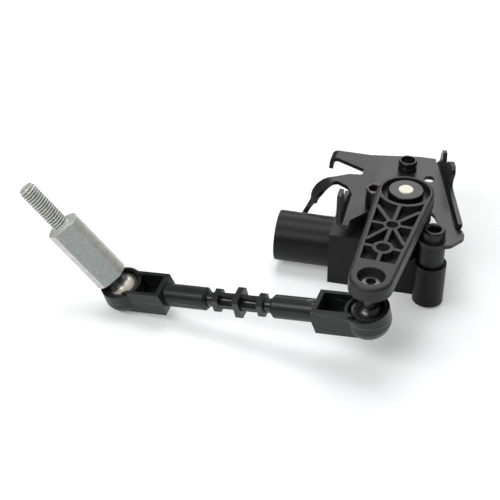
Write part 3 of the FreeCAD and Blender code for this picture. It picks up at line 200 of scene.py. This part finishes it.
class Wire:
    """A node's number output that takes part in Python sums."""

    def __init__(self, finish, socket):
        self.finish = finish
        self.socket = socket

    def _sum(self, operation, first, second):
        made = self.finish.node("ShaderNodeMath", {"operation": operation}, {0: first, 1: second})
        return Wire(self.finish, made.outputs[0])

    def __add__(self, other):
        return self._sum("ADD", self, other)

    def __sub__(self, other):
        return self._sum("SUBTRACT", self, other)

    def __mul__(self, other):
        return self._sum("MULTIPLY", self, other)

    def __truediv__(self, other):
        return self._sum("DIVIDE", self, other)

    def __pow__(self, other):
        return self._sum("POWER", self, other)

    def __radd__(self, other):
        return self._sum("ADD", other, self)

    def __rsub__(self, other):
        return self._sum("SUBTRACT", other, self)

    def __rmul__(self, other):
        return self._sum("MULTIPLY", other, self)

    def greatest(self, other):
        """The larger of two numbers."""
        return self._sum("MAXIMUM", self, other)


class Nodes:
    """A node tree whose nodes are added, set up and linked by one method."""

    def __init__(self, tree):
        self.nodes = tree.nodes
        self.links = tree.links

    def first(self, kind):
        """The node of a type that the tree came with."""
        return next(node for node in self.nodes if node.type == kind)

    def node(self, kind, settings=None, inputs=None):
        """Add a node, set it up, then fill its sockets with values or links."""
        made = self.nodes.new(kind)
        for setting, value in (settings or {}).items():
            setattr(made, setting, value)
        self.fill(made, inputs or {})
        return made

    def fill(self, made, inputs):
        """Fill sockets, given by name or number, with values or links."""
        for key, value in inputs.items():
            if isinstance(key, int):
                socket = made.inputs[key]
            else:
                socket = next(item for item in made.inputs if item.enabled and item.name == key)
            if isinstance(value, Wire):
                value = value.socket
            if isinstance(value, bpy.types.NodeSocket):
                self.links.new(value, socket)
            elif hasattr(value, "__len__") and len(value) == 3 and socket.type == "RGBA":
                socket.default_value = (*value, 1.0)
            else:
                socket.default_value = value


class Finish(Nodes):
    """A material built from nodes, measured in millimetres in the part's own frame."""

    def __init__(self, name):
        self.material = bpy.data.materials.new(name)
        self.material.use_nodes = True
        super().__init__(self.material.node_tree)
        self.shader = self.first("BSDF_PRINCIPLED")
        coordinates = self.node("ShaderNodeTexCoord")
        scaled = self.node("ShaderNodeVectorMath", {"operation": "SCALE"},
                           {"Vector": coordinates.outputs["Object"], "Scale": 1 / MM})
        self.place = scaled.outputs[0]
        self.normal = coordinates.outputs["Normal"]

    def noise(self, per_mm, detail=2.0, place=None, roughness=0.5):
        """Soft noise from 0 to 1 with this many cells in a millimetre."""
        made = self.node("ShaderNodeTexNoise", {"noise_dimensions": "3D"}, {
            "Vector": place or self.place, "Scale": per_mm, "Detail": detail,
            "Roughness": roughness})
        return Wire(self, made.outputs[0])

    def stretched(self, across, along, up):
        """Coordinates pulled apart by a factor on each axis."""
        made = self.node("ShaderNodeVectorMath", {"operation": "MULTIPLY"},
                         {0: self.place, 1: (across, along, up)})
        return made.outputs[0]

    def ramp(self, number, low, high):
        """Smooth step of a number from 0 at low to 1 at high."""
        made = self.node("ShaderNodeMapRange", {"interpolation_type": "SMOOTHSTEP"}, {
            "Value": number, "From Min": low, "From Max": high, "To Min": 0.0, "To Max": 1.0})
        return Wire(self, made.outputs[0])

    def measured_from(self, start):
        """Coordinates measured from a start."""
        made = self.node("ShaderNodeVectorMath", {"operation": "SUBTRACT"},
                         {0: self.place, 1: start})
        return made.outputs[0]

    def along(self, direction, start=(0.0, 0.0, 0.0)):
        """How far a point lies along a direction from a start, in millimetres."""
        made = self.node("ShaderNodeVectorMath", {"operation": "DOT_PRODUCT"},
                         {0: self.measured_from(start), 1: Vector(direction).normalized()})
        return Wire(self, made.outputs["Value"])

    def away_from(self, spot):
        """Distance from a point in millimetres, its height left out."""
        flat = self.stretched(1.0, 1.0, 0.0)
        made = self.node("ShaderNodeVectorMath", {"operation": "DISTANCE"},
                         {0: flat, 1: (spot[0], spot[1], 0.0)})
        return Wire(self, made.outputs["Value"])

    def away_from_line(self, start, axis):
        """Distance from a line in millimetres."""
        across = self.node("ShaderNodeVectorMath", {"operation": "CROSS_PRODUCT"},
                           {0: self.measured_from(start), 1: Vector(axis).normalized()})
        made = self.node("ShaderNodeVectorMath", {"operation": "LENGTH"}, {0: across.outputs[0]})
        return Wire(self, made.outputs["Value"])

    def facing(self, direction):
        """How squarely the surface faces a direction, from -1 to 1."""
        made = self.node("ShaderNodeVectorMath", {"operation": "DOT_PRODUCT"},
                         {0: self.normal, 1: Vector(direction).normalized()})
        return Wire(self, made.outputs["Value"])

    def mix(self, mask, first, second):
        """Colour that goes from the first to the second with a mask."""
        made = self.node("ShaderNodeMix", {"data_type": "RGBA", "clamp_factor": True},
                         {"Factor": mask, "A": first, "B": second})
        return next(item for item in made.outputs if item.enabled)

    def bump(self, height, depth_mm, strength):
        """Normal of a surface raised by a height from 0 to 1."""
        made = self.node("ShaderNodeBump", None, {
            "Height": height, "Distance": depth_mm * MM, "Strength": strength})
        return made.outputs[0]

    def surface(self, colour, roughness, normal=None, metallic=0.0, **more):
        """Set the shader up and return the material."""
        inputs = {"Base Color": colour, "Roughness": roughness, "Metallic": metallic, **more}
        if normal is not None:
            inputs["Normal"] = normal
        self.fill(self.shader, inputs)
        return self.material


def tinted(colour, factor):
    """A colour made lighter or darker."""
    return tuple(min(1.0, part * factor) for part in colour)


def moulded_plastic(name, colour, roughness, grain_mm=0.012, sheen=0.5, dust_gain=1.0):
    """Moulded plastic with a fine grain, faint drag lines and dust."""
    finish = Finish(name)
    grain = finish.noise(4.0, 3.0)
    flow = finish.noise(0.7, 3.0, finish.stretched(0.12, 1.0, 1.0))
    dust = finish.ramp(finish.noise(1.6, 5.0, roughness=0.7), 0.58, 0.72)
    body = finish.mix(flow, tinted(colour, 0.8), tinted(colour, 1.25))
    dusty = finish.mix(dust * 0.35, body, tinted(colour, 2.6 * dust_gain))
    return finish.surface(dusty, roughness - 0.06 + 0.12 * flow + 0.08 * dust,
                          finish.bump(grain + flow * 0.4, grain_mm, 0.6),
                          **{"Specular IOR Level": sheen})


def link_plastic(name, colour, seams):
    """Glossy moulded plastic with a pale flash line at each end, given as (place, axis)."""
    finish = Finish(name)
    grain = finish.noise(2.2, 4.0, roughness=0.6)
    flow = finish.noise(0.25, 3.0)
    wobble = 0.12 * finish.noise(0.4, 2.0)
    lines = []
    for place, axis in seams:
        off = finish.along(axis, place) + wobble
        lines.append(1 - finish.ramp(off * off, 0.006, 0.035))
    side = finish.ramp(finish.along((1, 0, 0)), *LINK_MIDDLE_MM)
    broken = finish.ramp(finish.noise(0.5, 3.0), 0.35, 0.6)
    seam = (lines[0] * (1 - side) + lines[1] * side) * broken
    body = finish.mix(flow, tinted(colour, 0.8), tinted(colour, 1.4))
    lined = finish.mix(seam * 0.6, body, (0.16, 0.165, 0.17))
    return finish.surface(lined, 0.30 + 0.12 * flow, finish.bump(grain * 0.5 + seam, 0.05, 0.5),
                          **{"Specular IOR Level": 0.42})


def dip_coat(name, colour, roughness):
    """Satin black dip coat with orange peel, faint dust and painted shade on the strap's side,
    darker and duller there.
    """
    finish = Finish(name)
    peel = finish.noise(1.1, 2.0)
    cloud = finish.noise(0.09, 4.0)
    specks = finish.ramp(finish.noise(2.3, 4.0, roughness=0.7), 0.62, 0.72)
    body = finish.mix(cloud, tinted(colour, 0.85), tinted(colour, 1.3))
    dusty = finish.mix(specks * 0.3, body, tinted(colour, 2.4))
    # Painted shade: faces turned left, short of the strap's edge, are painted darker and made
    # duller
    left = finish.ramp(finish.facing((-1.0, -0.3, 0.3)), 0.2, 0.6)
    painted_shade = left * (1 - finish.ramp(finish.along((1, 0, 0)), *STRAP_SHADE_EDGE_MM))
    shaded_coat = finish.mix(painted_shade, dusty, tinted(colour, 0.2))
    return finish.surface(shaded_coat, roughness - 0.05 + 0.10 * cloud + 0.05 * specks + 0.5 * painted_shade,
                          finish.bump(peel, 0.02, 0.5), **{"Specular IOR Level": 0.4})


def plated_metal(name, colour, roughness, metallic=1.0, marks=0.8):
    """Turned or stamped metal with fine lines and cloudy plating."""
    finish = Finish(name)
    lines = finish.noise(5.0, 2.0, finish.stretched(0.15, 0.15, 1.0))
    cloud = finish.noise(0.35, 4.0)
    body = finish.mix(cloud, tinted(colour, marks), colour)
    return finish.surface(body, roughness - 0.05 + 0.14 * cloud, finish.bump(lines, 0.006, 0.4),
                          metallic)


def black_steel(name, colour, roughness, rim=None, worn=None):
    """Black zinc on steel, worn to bare metal round a rim given by place and radii."""
    finish = Finish(name)
    cloud = finish.noise(0.8, 4.0)
    lines = finish.noise(6.0, 2.0, finish.stretched(0.1, 0.1, 1.0))
    body = finish.mix(cloud, tinted(colour, 0.8), tinted(colour, 1.5))
    metallic = 0.35
    if rim:
        spot, inner, outer, low = rim
        far = finish.away_from(spot)
        outside = finish.ramp(far, outer, outer + 0.3)
        ring = finish.ramp(far, inner - 0.15, inner + 0.15) * (1 - outside)
        high = finish.ramp(finish.along((0, 0, 1)), low, low + 0.25)
        patchy = finish.ramp(finish.noise(1.3, 3.0), 0.32, 0.52)
        bare = ring * high * patchy
        body = finish.mix(bare, body, worn)
        metallic = 0.35 + 0.55 * bare
    return finish.surface(body, roughness + 0.12 * cloud, finish.bump(lines, 0.006, 0.4), metallic)


def greased(name, colour, roughness, wet=0.8, smear_mm=0.05):
    """Smooth plastic or steel under an uneven greasy film."""
    finish = Finish(name)
    film = finish.noise(0.45, 4.0)
    smear = finish.noise(1.5, 3.0, finish.stretched(1.0, 1.0, 0.3))
    body = finish.mix(film, tinted(colour, 0.8), tinted(colour, 1.7))
    return finish.surface(body, roughness + 0.25 * film * (1 - wet),
                          finish.bump(smear, smear_mm, 0.35),
                          **{"Coat Weight": wet * 0.8, "Coat Roughness": 0.08})


def lever_plastic(name, colour):
    """Glass filled plastic: satin, with pale fibre flecks."""
    finish = Finish(name)
    strands = finish.noise(2.6, 5.0, finish.stretched(1.0, 0.35, 1.0), 0.75)
    fibres = finish.ramp(strands, 0.55, 0.72)
    flow = finish.noise(0.10, 3.0)
    grain = finish.noise(3.2, 3.0)
    body = finish.mix(flow, tinted(colour, 0.85), tinted(colour, 1.2))
    flecked = finish.mix(fibres * 0.35, body, tinted(colour, 2.0))
    return finish.surface(flecked, 0.38 + 0.14 * flow + 0.06 * fibres,
                          finish.bump(grain, 0.02, 0.6), **{"Specular IOR Level": 0.35})


def zinc_plating(name, stud, start, axis, grease_and_reflection):
    """Zinc: painted light on the round sides, specked flats, painted shade in the thread roots, and
    painted reflection on the greasy ball.
    """
    finish = Finish(name)
    mottle = finish.noise(0.45, 5.0, roughness=0.65)
    specks = finish.ramp(finish.noise(1.5, 4.0, roughness=0.75), 0.56, 0.66)
    lines = finish.noise(3.5, 2.0)
    square = finish.facing(stud.flat_facing)
    flat = finish.ramp(square * square, 0.975, 0.99)
    height = finish.along(axis, start)
    reach = finish.away_from_line(start, axis)
    dull = tinted(stud.zinc[:], 0.97)
    # Painted light: the round sides are painted lighter than the flats
    pale = tuple(part * gain for part, gain in zip(stud.zinc, BAND_LIGHT_GAIN))
    painted_lit_sides = finish.mix(finish.ramp(mottle, 0.35, 0.65), pale, tinted(pale, 0.8))
    worn = finish.mix(mottle, tinted(dull, 1.1), tinted(dull, 0.85))
    body = finish.mix(flat, painted_lit_sides, worn)
    marked = finish.mix(specks * (0.12 + 0.6 * flat), body, stud.zinc_dark[:])
    # Painted shade: the thread's roots are painted darker
    root = 1 - finish.ramp(reach, (stud.thread_radius - stud.thread_depth) / MM,
                           (stud.thread_radius - stud.thread_depth * 0.2) / MM)
    tip = finish.ramp(height, stud.tip / MM - 1.3, stud.tip / MM - 0.8)
    thread = finish.ramp(height, stud.bar_end / MM, stud.bar_end / MM + 0.3) * (1 - tip)
    grain = 0.5 * finish.ramp(finish.noise(1.7, 4.0, roughness=0.8), 0.4, 0.68)
    marked = finish.mix(grain * (0.25 + 0.75 * flat), marked, tinted(stud.zinc_dark[:], 1.8))
    root_shaded = finish.mix(root * thread * 0.8, marked, tinted(stud.zinc_dark[:], 0.7))
    # Darker on the neck and the top of the ball, below the bar
    neck = 1 - finish.ramp(height, stud.bar_start / MM - 0.2, stud.bar_start / MM + 0.1)
    darker_neck = finish.mix(neck, root_shaded, tinted(stud.zinc_dark[:], 0.45))
    # Painted reflection: most of the greasy polished ball is painted pale cream
    ball_reflection = 1 - finish.ramp(height + 1.2 * mottle, 2.9, 3.8)
    coloured = finish.mix(ball_reflection, darker_neck, grease_and_reflection)
    return finish.surface(coloured, 0.34 + 0.12 * mottle + 0.12 * flat - 0.12 * ball_reflection,
                          finish.bump(lines + specks * flat, 0.012, 0.5),
                          0.55 - 0.3 * flat - 0.25 * ball_reflection)


def give(material, *nodes):
    """Put one material on solids of the frame."""
    for name in nodes:
        solid = frame["nodes"][name]
        solid.data.materials.clear()
        solid.data.materials.append(material)


def round_edges(piece, width_mm, segments, angle):
    """Bevel the edges of a piece that are sharper than an angle, and even out its shading."""
    bevel = piece.modifiers.new("Edges", "BEVEL")
    bevel.width = width_mm * MM
    bevel.segments = segments
    bevel.limit_method = "ANGLE"
    bevel.angle_limit = angle
    normals = piece.modifiers.new("Normals", "WEIGHTED_NORMAL")
    normals.mode = "FACE_AREA"
    normals.weight = NORMAL_WEIGHT
    normals.keep_sharp = False


def soften(width_mm, *nodes, segments=2):
    """Round the solids' edges as moulding or tumbling leaves them."""
    for name in nodes:
        solid = frame["nodes"][name]
        weld = solid.modifiers.new("Weld", "WELD")
        weld.merge_threshold = WELD_MM * MM
        for face in solid.data.polygons:
            face.use_smooth = True
        round_edges(solid, width_mm, segments, EDGE_ANGLE)


class SensorOperator:
    """Shared settings of the sensor's operators."""

    bl_options = {"REGISTER", "UNDO"}


class OBJECT_OT_sensor_housing(SensorOperator, bpy.types.Operator):
    """Finish the housing, its cover, seal, bush and everything inside it."""

    bl_idname = "object.sensor_housing"
    bl_label = "Housing"

    def execute(self, context):
        colours = context.scene.sensor_finishes
        give(moulded_plastic("housing_plastic", colours.housing[:], 0.40, 0.014, 0.22), "housing")
        give(moulded_plastic("cover_plastic", tinted(colours.housing[:], 0.9), 0.5), "back_cover")
        give(moulded_plastic("board_laminate", (0.03, 0.16, 0.06), 0.35, 0.004), "circuit_board")
        give(plated_metal("bush_bronze", (0.62, 0.42, 0.22), 0.4), "bearing_bush")
        give(greased("seal_rubber", (0.015, 0.015, 0.015), 0.4, 0.5), "shaft_seal")
        give(plated_metal("insert_brass", (0.76, 0.60, 0.30), 0.3), "insert_right", "insert_left")
        give(moulded_plastic("magnet_holder", (0.10, 0.10, 0.11), 0.5), "rotor_magnet")
        give(plated_metal("terminal_tin", (0.72, 0.66, 0.52), 0.3), *TERMINALS)
        soften(0.35, "housing")
        soften(0.2, "back_cover")
        return {"FINISHED"}


class OBJECT_OT_sensor_bracket(SensorOperator, bpy.types.Operator):
    """Finish the folded bracket with its spacers, screws and press nut."""

    bl_idname = "object.sensor_bracket"
    bl_label = "Bracket"

    def execute(self, context):
        colours = context.scene.sensor_finishes
        give(dip_coat("bracket_coat", colours.bracket[:], 0.35), "bracket")
        give(dip_coat("spacer_steel", tinted(colours.bracket[:], 0.4), 0.5),
             "spacer_right", "spacer_left")
        give(black_steel("screw_black", BLACK_ZINC, 0.3), "screw_right")
        spot = (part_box("screw_left")[0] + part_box("screw_left")[1]) / 2 / MM
        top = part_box("screw_left")[1].z / MM
        rim = (spot, *WORN_RIM_MM, top - WORN_DEPTH_MM)
        give(black_steel("screw_left_black", BLACK_ZINC, 0.3, rim, colours.worn_steel[:]),
             "screw_left")
        give(black_steel("nut_black", BLACK_ZINC, 0.22), "press_nut")
        soften(0.4, "bracket", segments=3)
        soften(0.14, "screw_right", "screw_left", "press_nut")
        return {"FINISHED"}


class OBJECT_OT_sensor_lever(SensorOperator, bpy.types.Operator):
    """Finish the lever, its cap, the shaft and the lever's ball stud."""

    bl_idname = "object.sensor_lever"
    bl_label = "Lever"

    def execute(self, context):
        colours = context.scene.sensor_finishes
        give(lever_plastic("lever_plastic", colours.lever[:]), "lever_arm")
        give(moulded_plastic("cap_plastic", colours.cap[:], 0.22, 0.006, 0.3), "hub_cap")
        give(moulded_plastic("shaft_plastic", colours.ivory[:], 0.35, 0.006, 0.5, 0.4), "shaft")
        give(greased("stud_black", (0.006, 0.006, 0.007), 0.3, 0.6, 0.16), "lever_ball_stud")
        soften(0.3, "lever_arm", segments=3)
        soften(0.15, "hub_cap", "shaft", "lever_ball_stud")
        return {"FINISHED"}


class OBJECT_OT_sensor_link(SensorOperator, bpy.types.Operator):
    """Finish the drop link's ends, its ribbed rod and the ball seats."""

    bl_idname = "object.sensor_link"
    bl_label = "Drop link"

    def execute(self, context):
        colours = context.scene.sensor_finishes
        seams = [(Vector(joint(name)["pos_m"]) / MM, joint(name)["axis"])
                 for name in ("stud_yaw", "link_yaw")]
        give(link_plastic("link_plastic", colours.link[:], seams),
             "link_end_right", "link_end_left")
        give(greased("rod_plastic", tinted(colours.link[:], 0.6), 0.22, 0.3), "link_rod")
        give(greased("seat_plastic", (0.03, 0.03, 0.032), 0.2),
             "ball_seat_right", "ball_seat_left")
        soften(0.35, "link_end_right", "link_end_left", segments=3)
        soften(0.18, "link_rod")
        return {"FINISHED"}


def bar_angles(stud):
    """Angles round the stud, with the flats' corners among them."""
    corner = math.acos(stud.bar_flats / 2 / stud.bar_radius)
    angles = []
    for middle in (0.0, math.pi):
        angles += [middle - corner + 2 * corner * step / FLAT_STEPS for step in range(FLAT_STEPS)]
        rest = math.pi - 2 * corner
        angles += [middle + corner + rest * step / ROUND_STEPS for step in range(ROUND_STEPS)]
    return angles


def stud_rows(stud):
    """Rings from the ball to the thread, as (height, radius, whether the flats cut it)."""
    rows = []
    joined = math.acos(stud.neck_radius / stud.ball_radius)
    for step in range(1, BALL_STEPS + 1):
        turn = -math.pi / 2 + (joined + math.pi / 2) * step / BALL_STEPS
        rows.append((stud.ball_radius * math.sin(turn), stud.ball_radius * math.cos(turn), False))
    edge = 0.4 * MM
    rows += [(stud.bar_start - edge * 0.5, stud.neck_radius, False),
             (stud.bar_start, stud.neck_radius + edge * 0.5, False),
             (stud.bar_start, stud.bar_radius - edge * 2, True),
             (stud.bar_start + edge * 0.1, stud.bar_radius - edge, True),
             (stud.bar_start + edge * 0.5, stud.bar_radius - edge * 0.25, True),
             (stud.bar_start + edge, stud.bar_radius, True)]
    rows += [(stud.bar_start + (stud.bar_end - stud.bar_start) * share, stud.bar_radius, True)
             for share in (0.1, 0.3, 0.5, 0.7, 0.9)]
    rows += [(stud.bar_end - edge, stud.bar_radius, True),
             (stud.bar_end - edge * 0.4, stud.bar_radius - edge * 0.25, True),
             (stud.bar_end, stud.bar_radius - edge, True),
             (stud.bar_end, stud.bar_radius - edge * 2, True),
             (stud.bar_end, stud.thread_radius, False)]
    return rows


def thread_height(stud, height, angle):
    """Thread's radius at a height and an angle, with a soft crest and root."""
    turn = (height / stud.thread_pitch - angle / (2 * math.pi)) % 1.0
    wave = 0.5 + 0.5 * math.cos(2 * math.pi * turn)
    start = min(1.0, max(0.0, (height - stud.bar_end - RUNOUT_GAP) / RUNOUT))
    point = min(1.0, max(0.0, (stud.tip - TIP_ROUND - height) / TIP_TAPER))
    crest = stud.thread_radius - stud.thread_depth * (1 - point) * 0.9
    cut = stud.thread_depth * start * (0.3 + 0.7 * point)
    return crest - cut * (1 - min(1.0, wave * 1.35))


def add_ring(mesh, angles, reaches, height):
    """Ring of points at a height, with a radius for each angle."""
    return [mesh.verts.new((reach * math.cos(angle), reach * math.sin(angle), height))
            for angle, reach in zip(angles, reaches)]


def stud_mesh(stud):
    """Ball, neck, bar with two flats and helical thread as one closed mesh about Z."""
    mesh = bmesh.new()
    angles = bar_angles(stud)
    foot = mesh.verts.new((0, 0, -stud.ball_radius))
    flats = [stud.bar_flats / 2 / max(1e-6, abs(math.cos(angle))) for angle in angles]
    rings = []
    for height, radius, cut in stud_rows(stud):
        reaches = [min(radius, flat) if cut else radius for flat in flats]
        rings.append(add_ring(mesh, angles, reaches, height))
    length = stud.tip - TIP_ROUND - stud.bar_end
    count = int(length / stud.thread_pitch * THREAD_STEPS)
    for step in range(1, count + 1):
        height = stud.bar_end + length * step / count
        reaches = [thread_height(stud, height, angle) for angle in angles]
        rings.append(add_ring(mesh, angles, reaches, height))
    end = stud.thread_radius - stud.thread_depth * 0.5
    for step in range(1, TIP_STEPS + 1):
        turn = math.pi / 2 * step / (TIP_STEPS + 0.5)
        height = stud.tip - TIP_ROUND * (1 - math.sin(turn))
        reaches = [end * math.cos(turn) ** TIP_FULLNESS] * len(angles)
        rings.append(add_ring(mesh, angles, reaches, height))
    size = len(angles)
    for index in range(size):
        mesh.faces.new((foot, rings[0][(index + 1) % size], rings[0][index]))
    for lower, upper in zip(rings, rings[1:]):
        for index in range(size):
            after = (index + 1) % size
            mesh.faces.new((lower[index], lower[after], upper[after], upper[index]))
    mesh.faces.new(rings[-1])
    bmesh.ops.recalc_face_normals(mesh, faces=mesh.faces)
    made = bpy.data.meshes.new("outer_stud_detail")
    mesh.to_mesh(made)
    mesh.free()
    for face in made.polygons:
        face.use_smooth = True
    return made


class OBJECT_OT_sensor_stud(SensorOperator, bpy.types.Operator):
    """Build the outer ball stud with its flats and rolled thread."""

    bl_idname = "object.sensor_stud"
    bl_label = "Outer ball stud"

    def execute(self, context):
        stud = context.scene.sensor_stud
        centre = Vector(joint("stud_yaw")["pos_m"])
        axis = Vector(mount("stud_thread")["axis"]).normalized()
        across = Vector(stud.flat_facing)
        across = (across - axis * across.dot(axis)).normalized()
        turn = Matrix((across, axis.cross(across), axis)).transposed()
        piece = bpy.data.objects.new("outer_stud_detail", stud_mesh(stud))
        context.scene.collection.objects.link(piece)
        piece.data.transform(Matrix.Translation(centre) @ turn.to_4x4())
        piece.data.materials.append(zinc_plating("stud_zinc", stud, centre / MM, axis,
                                                 context.scene.sensor_finishes.grease_and_reflection[:]))
        round_edges(piece, 0.12, 2, STUD_EDGE_ANGLE)
        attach(piece, "stud")
        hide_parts("outer_ball_stud")
        return {"FINISHED"}


# Stage

def seen_directly(finish):
    """1 for rays that see the stage directly or in a reflection, and 0 for light that it sheds."""
    path = finish.node("ShaderNodeLightPath")
    camera = Wire(finish, path.outputs["Is Camera Ray"])
    glossy = Wire(finish, path.outputs["Is Glossy Ray"])
    return camera.greatest(glossy).greatest(Wire(finish, path.outputs["Is Transmission Ray"]))


def floor_finish(glow):
    """Pale matt paper that reads as white where no shadow falls."""
    finish = Finish("floor_paper")
    fibre = finish.noise(0.05, 3.0)
    shade = finish.mix(fibre, (0.80, 0.81, 0.82), (0.84, 0.845, 0.85))
    finish.surface(shade, 0.85, finish.bump(fibre, 0.01, 0.2))
    light = finish.node("ShaderNodeEmission", None, {"Color": WHITE, "Strength": glow})
    lit = finish.node("ShaderNodeAddShader", None, {
        0: finish.shader.outputs[0], 1: light.outputs[0]})
    mixed = finish.node("ShaderNodeMixShader", None, {
        0: seen_directly(finish), 1: finish.shader.outputs[0], 2: lit.outputs[0]})
    finish.fill(finish.first("OUTPUT_MATERIAL"), {"Surface": mixed.outputs[0]})
    return finish.material


def add_lamp(name, place, target, size, power):
    """White soft lamp, a rectangle in shape, that faces a target."""
    lamp = bpy.data.lights.new(name, "AREA")
    lamp.shape = "RECTANGLE"
    lamp.size, lamp.size_y = size
    lamp.energy = power
    holder = bpy.data.objects.new(name, lamp)
    holder.location = place
    holder.rotation_euler = (Vector(target) - Vector(place)).to_track_quat("-Z", "Y").to_euler()
    bpy.context.scene.collection.objects.link(holder)


def add_sky(dark, bright):
    """Sky that brightens overhead and is seen as white by the camera."""
    world = bpy.data.worlds.new("studio")
    bpy.context.scene.world = world
    world.use_nodes = True
    sky = Nodes(world.node_tree)
    coordinates = sky.node("ShaderNodeTexCoord")
    towards = sky.node("ShaderNodeVectorMath", {"operation": "DOT_PRODUCT"}, {
        0: coordinates.outputs["Generated"], 1: Vector(SKY_WAY).normalized()})
    rise = sky.node("ShaderNodeMapRange", {"interpolation_type": "SMOOTHSTEP"}, {
        "Value": towards.outputs["Value"], "From Min": SKY_RISE_FROM, "From Max": 1.0,
        "To Min": dark, "To Max": bright})
    light = sky.first("BACKGROUND")
    sky.fill(light, {"Color": WHITE, "Strength": rise.outputs[0]})
    seen = sky.node("ShaderNodeBackground", None, {"Color": WHITE, "Strength": 1.0})
    path = sky.node("ShaderNodeLightPath")
    mixed = sky.node("ShaderNodeMixShader", None, {
        0: path.outputs["Is Camera Ray"], 1: light.outputs[0], 2: seen.outputs[0]})
    sky.fill(sky.first("OUTPUT_WORLD"), {"Surface": mixed.outputs[0]})


class OBJECT_OT_sensor_stage(SensorOperator, bpy.types.Operator):
    """Set up the floor, the lamps, the even light and the camera."""

    bl_idname = "object.sensor_stage"
    bl_label = "Stage"

    def execute(self, context):
        stage = context.scene.sensor_stage
        half = stage.floor_half
        sheet = bpy.data.meshes.new("floor")
        sheet.from_pydata([(-half, -half, 0), (half, -half, 0), (half, half, 0), (-half, half, 0)],
                          [], [(0, 1, 2, 3)])
        floor = bpy.data.objects.new("floor", sheet)
        floor.data.materials.append(floor_finish(stage.floor_light))
        context.scene.collection.objects.link(floor)
        add_sky(stage.sky_dark, stage.sky)
        aim = (-0.03, 0.0, 0.02)
        add_lamp("top", (-0.06, 0.04, 0.60), aim, (0.30, 0.28), stage.top_power)
        add_lamp("front", (-0.26, -0.38, 0.43), aim, (0.44, 0.14), stage.front_power)
        add_lamp("back", (-0.04, 0.66, 0.47), aim, (0.60, 0.34), stage.back_power)
        camera = bpy.data.cameras.new("camera")
        camera.lens = stage.lens
        camera.sensor_width = SENSOR_WIDTH_MM
        camera.clip_start = 0.01
        holder = bpy.data.objects.new("camera", camera)
        holder.location = stage.camera_place
        aimed = Vector(stage.camera_target) - Vector(stage.camera_place)
        holder.rotation_euler = aimed.to_track_quat("-Z", "Y").to_euler()
        context.scene.collection.objects.link(holder)
        context.scene.camera = holder
        context.scene.view_settings.view_transform = "Standard"
        return {"FINISHED"}


class VIEW3D_PT_sensor(bpy.types.Panel):
    """Lists the sensor's operators."""

    bl_idname = "VIEW3D_PT_sensor"
    bl_label = "Ride height sensor"
    bl_space_type = "VIEW_3D"
    bl_region_type = "UI"
    bl_category = "Sensor"

    def draw(self, context):
        for operator in OPERATORS:
            self.layout.operator(operator.bl_idname)


OPERATORS = (
    OBJECT_OT_sensor_housing,
    OBJECT_OT_sensor_bracket,
    OBJECT_OT_sensor_lever,
    OBJECT_OT_sensor_link,
    OBJECT_OT_sensor_stud,
    OBJECT_OT_sensor_stage,
)
CLASSES = (StudSettings, FinishSettings, StageSettings, *OPERATORS, VIEW3D_PT_sensor)


def register():
    """Register the classes and their settings."""
    for item in CLASSES:
        bpy.utils.register_class(item)
    bpy.types.Scene.sensor_stud = PointerProperty(type=StudSettings)
    bpy.types.Scene.sensor_finishes = PointerProperty(type=FinishSettings)
    bpy.types.Scene.sensor_stage = PointerProperty(type=StageSettings)


def unregister():
    """Take the classes and their settings away."""
    del bpy.types.Scene.sensor_stage
    del bpy.types.Scene.sensor_finishes
    del bpy.types.Scene.sensor_stud
    for item in reversed(CLASSES):
        bpy.utils.unregister_class(item)


def main():
    """Dress the sensor and set the stage."""
    register()
    bpy.ops.object.sensor_housing()
    bpy.ops.object.sensor_bracket()
    bpy.ops.object.sensor_lever()
    bpy.ops.object.sensor_link()
    bpy.ops.object.sensor_stud()
    bpy.ops.object.sensor_stage()


if __name__ == "__main__":
    main()
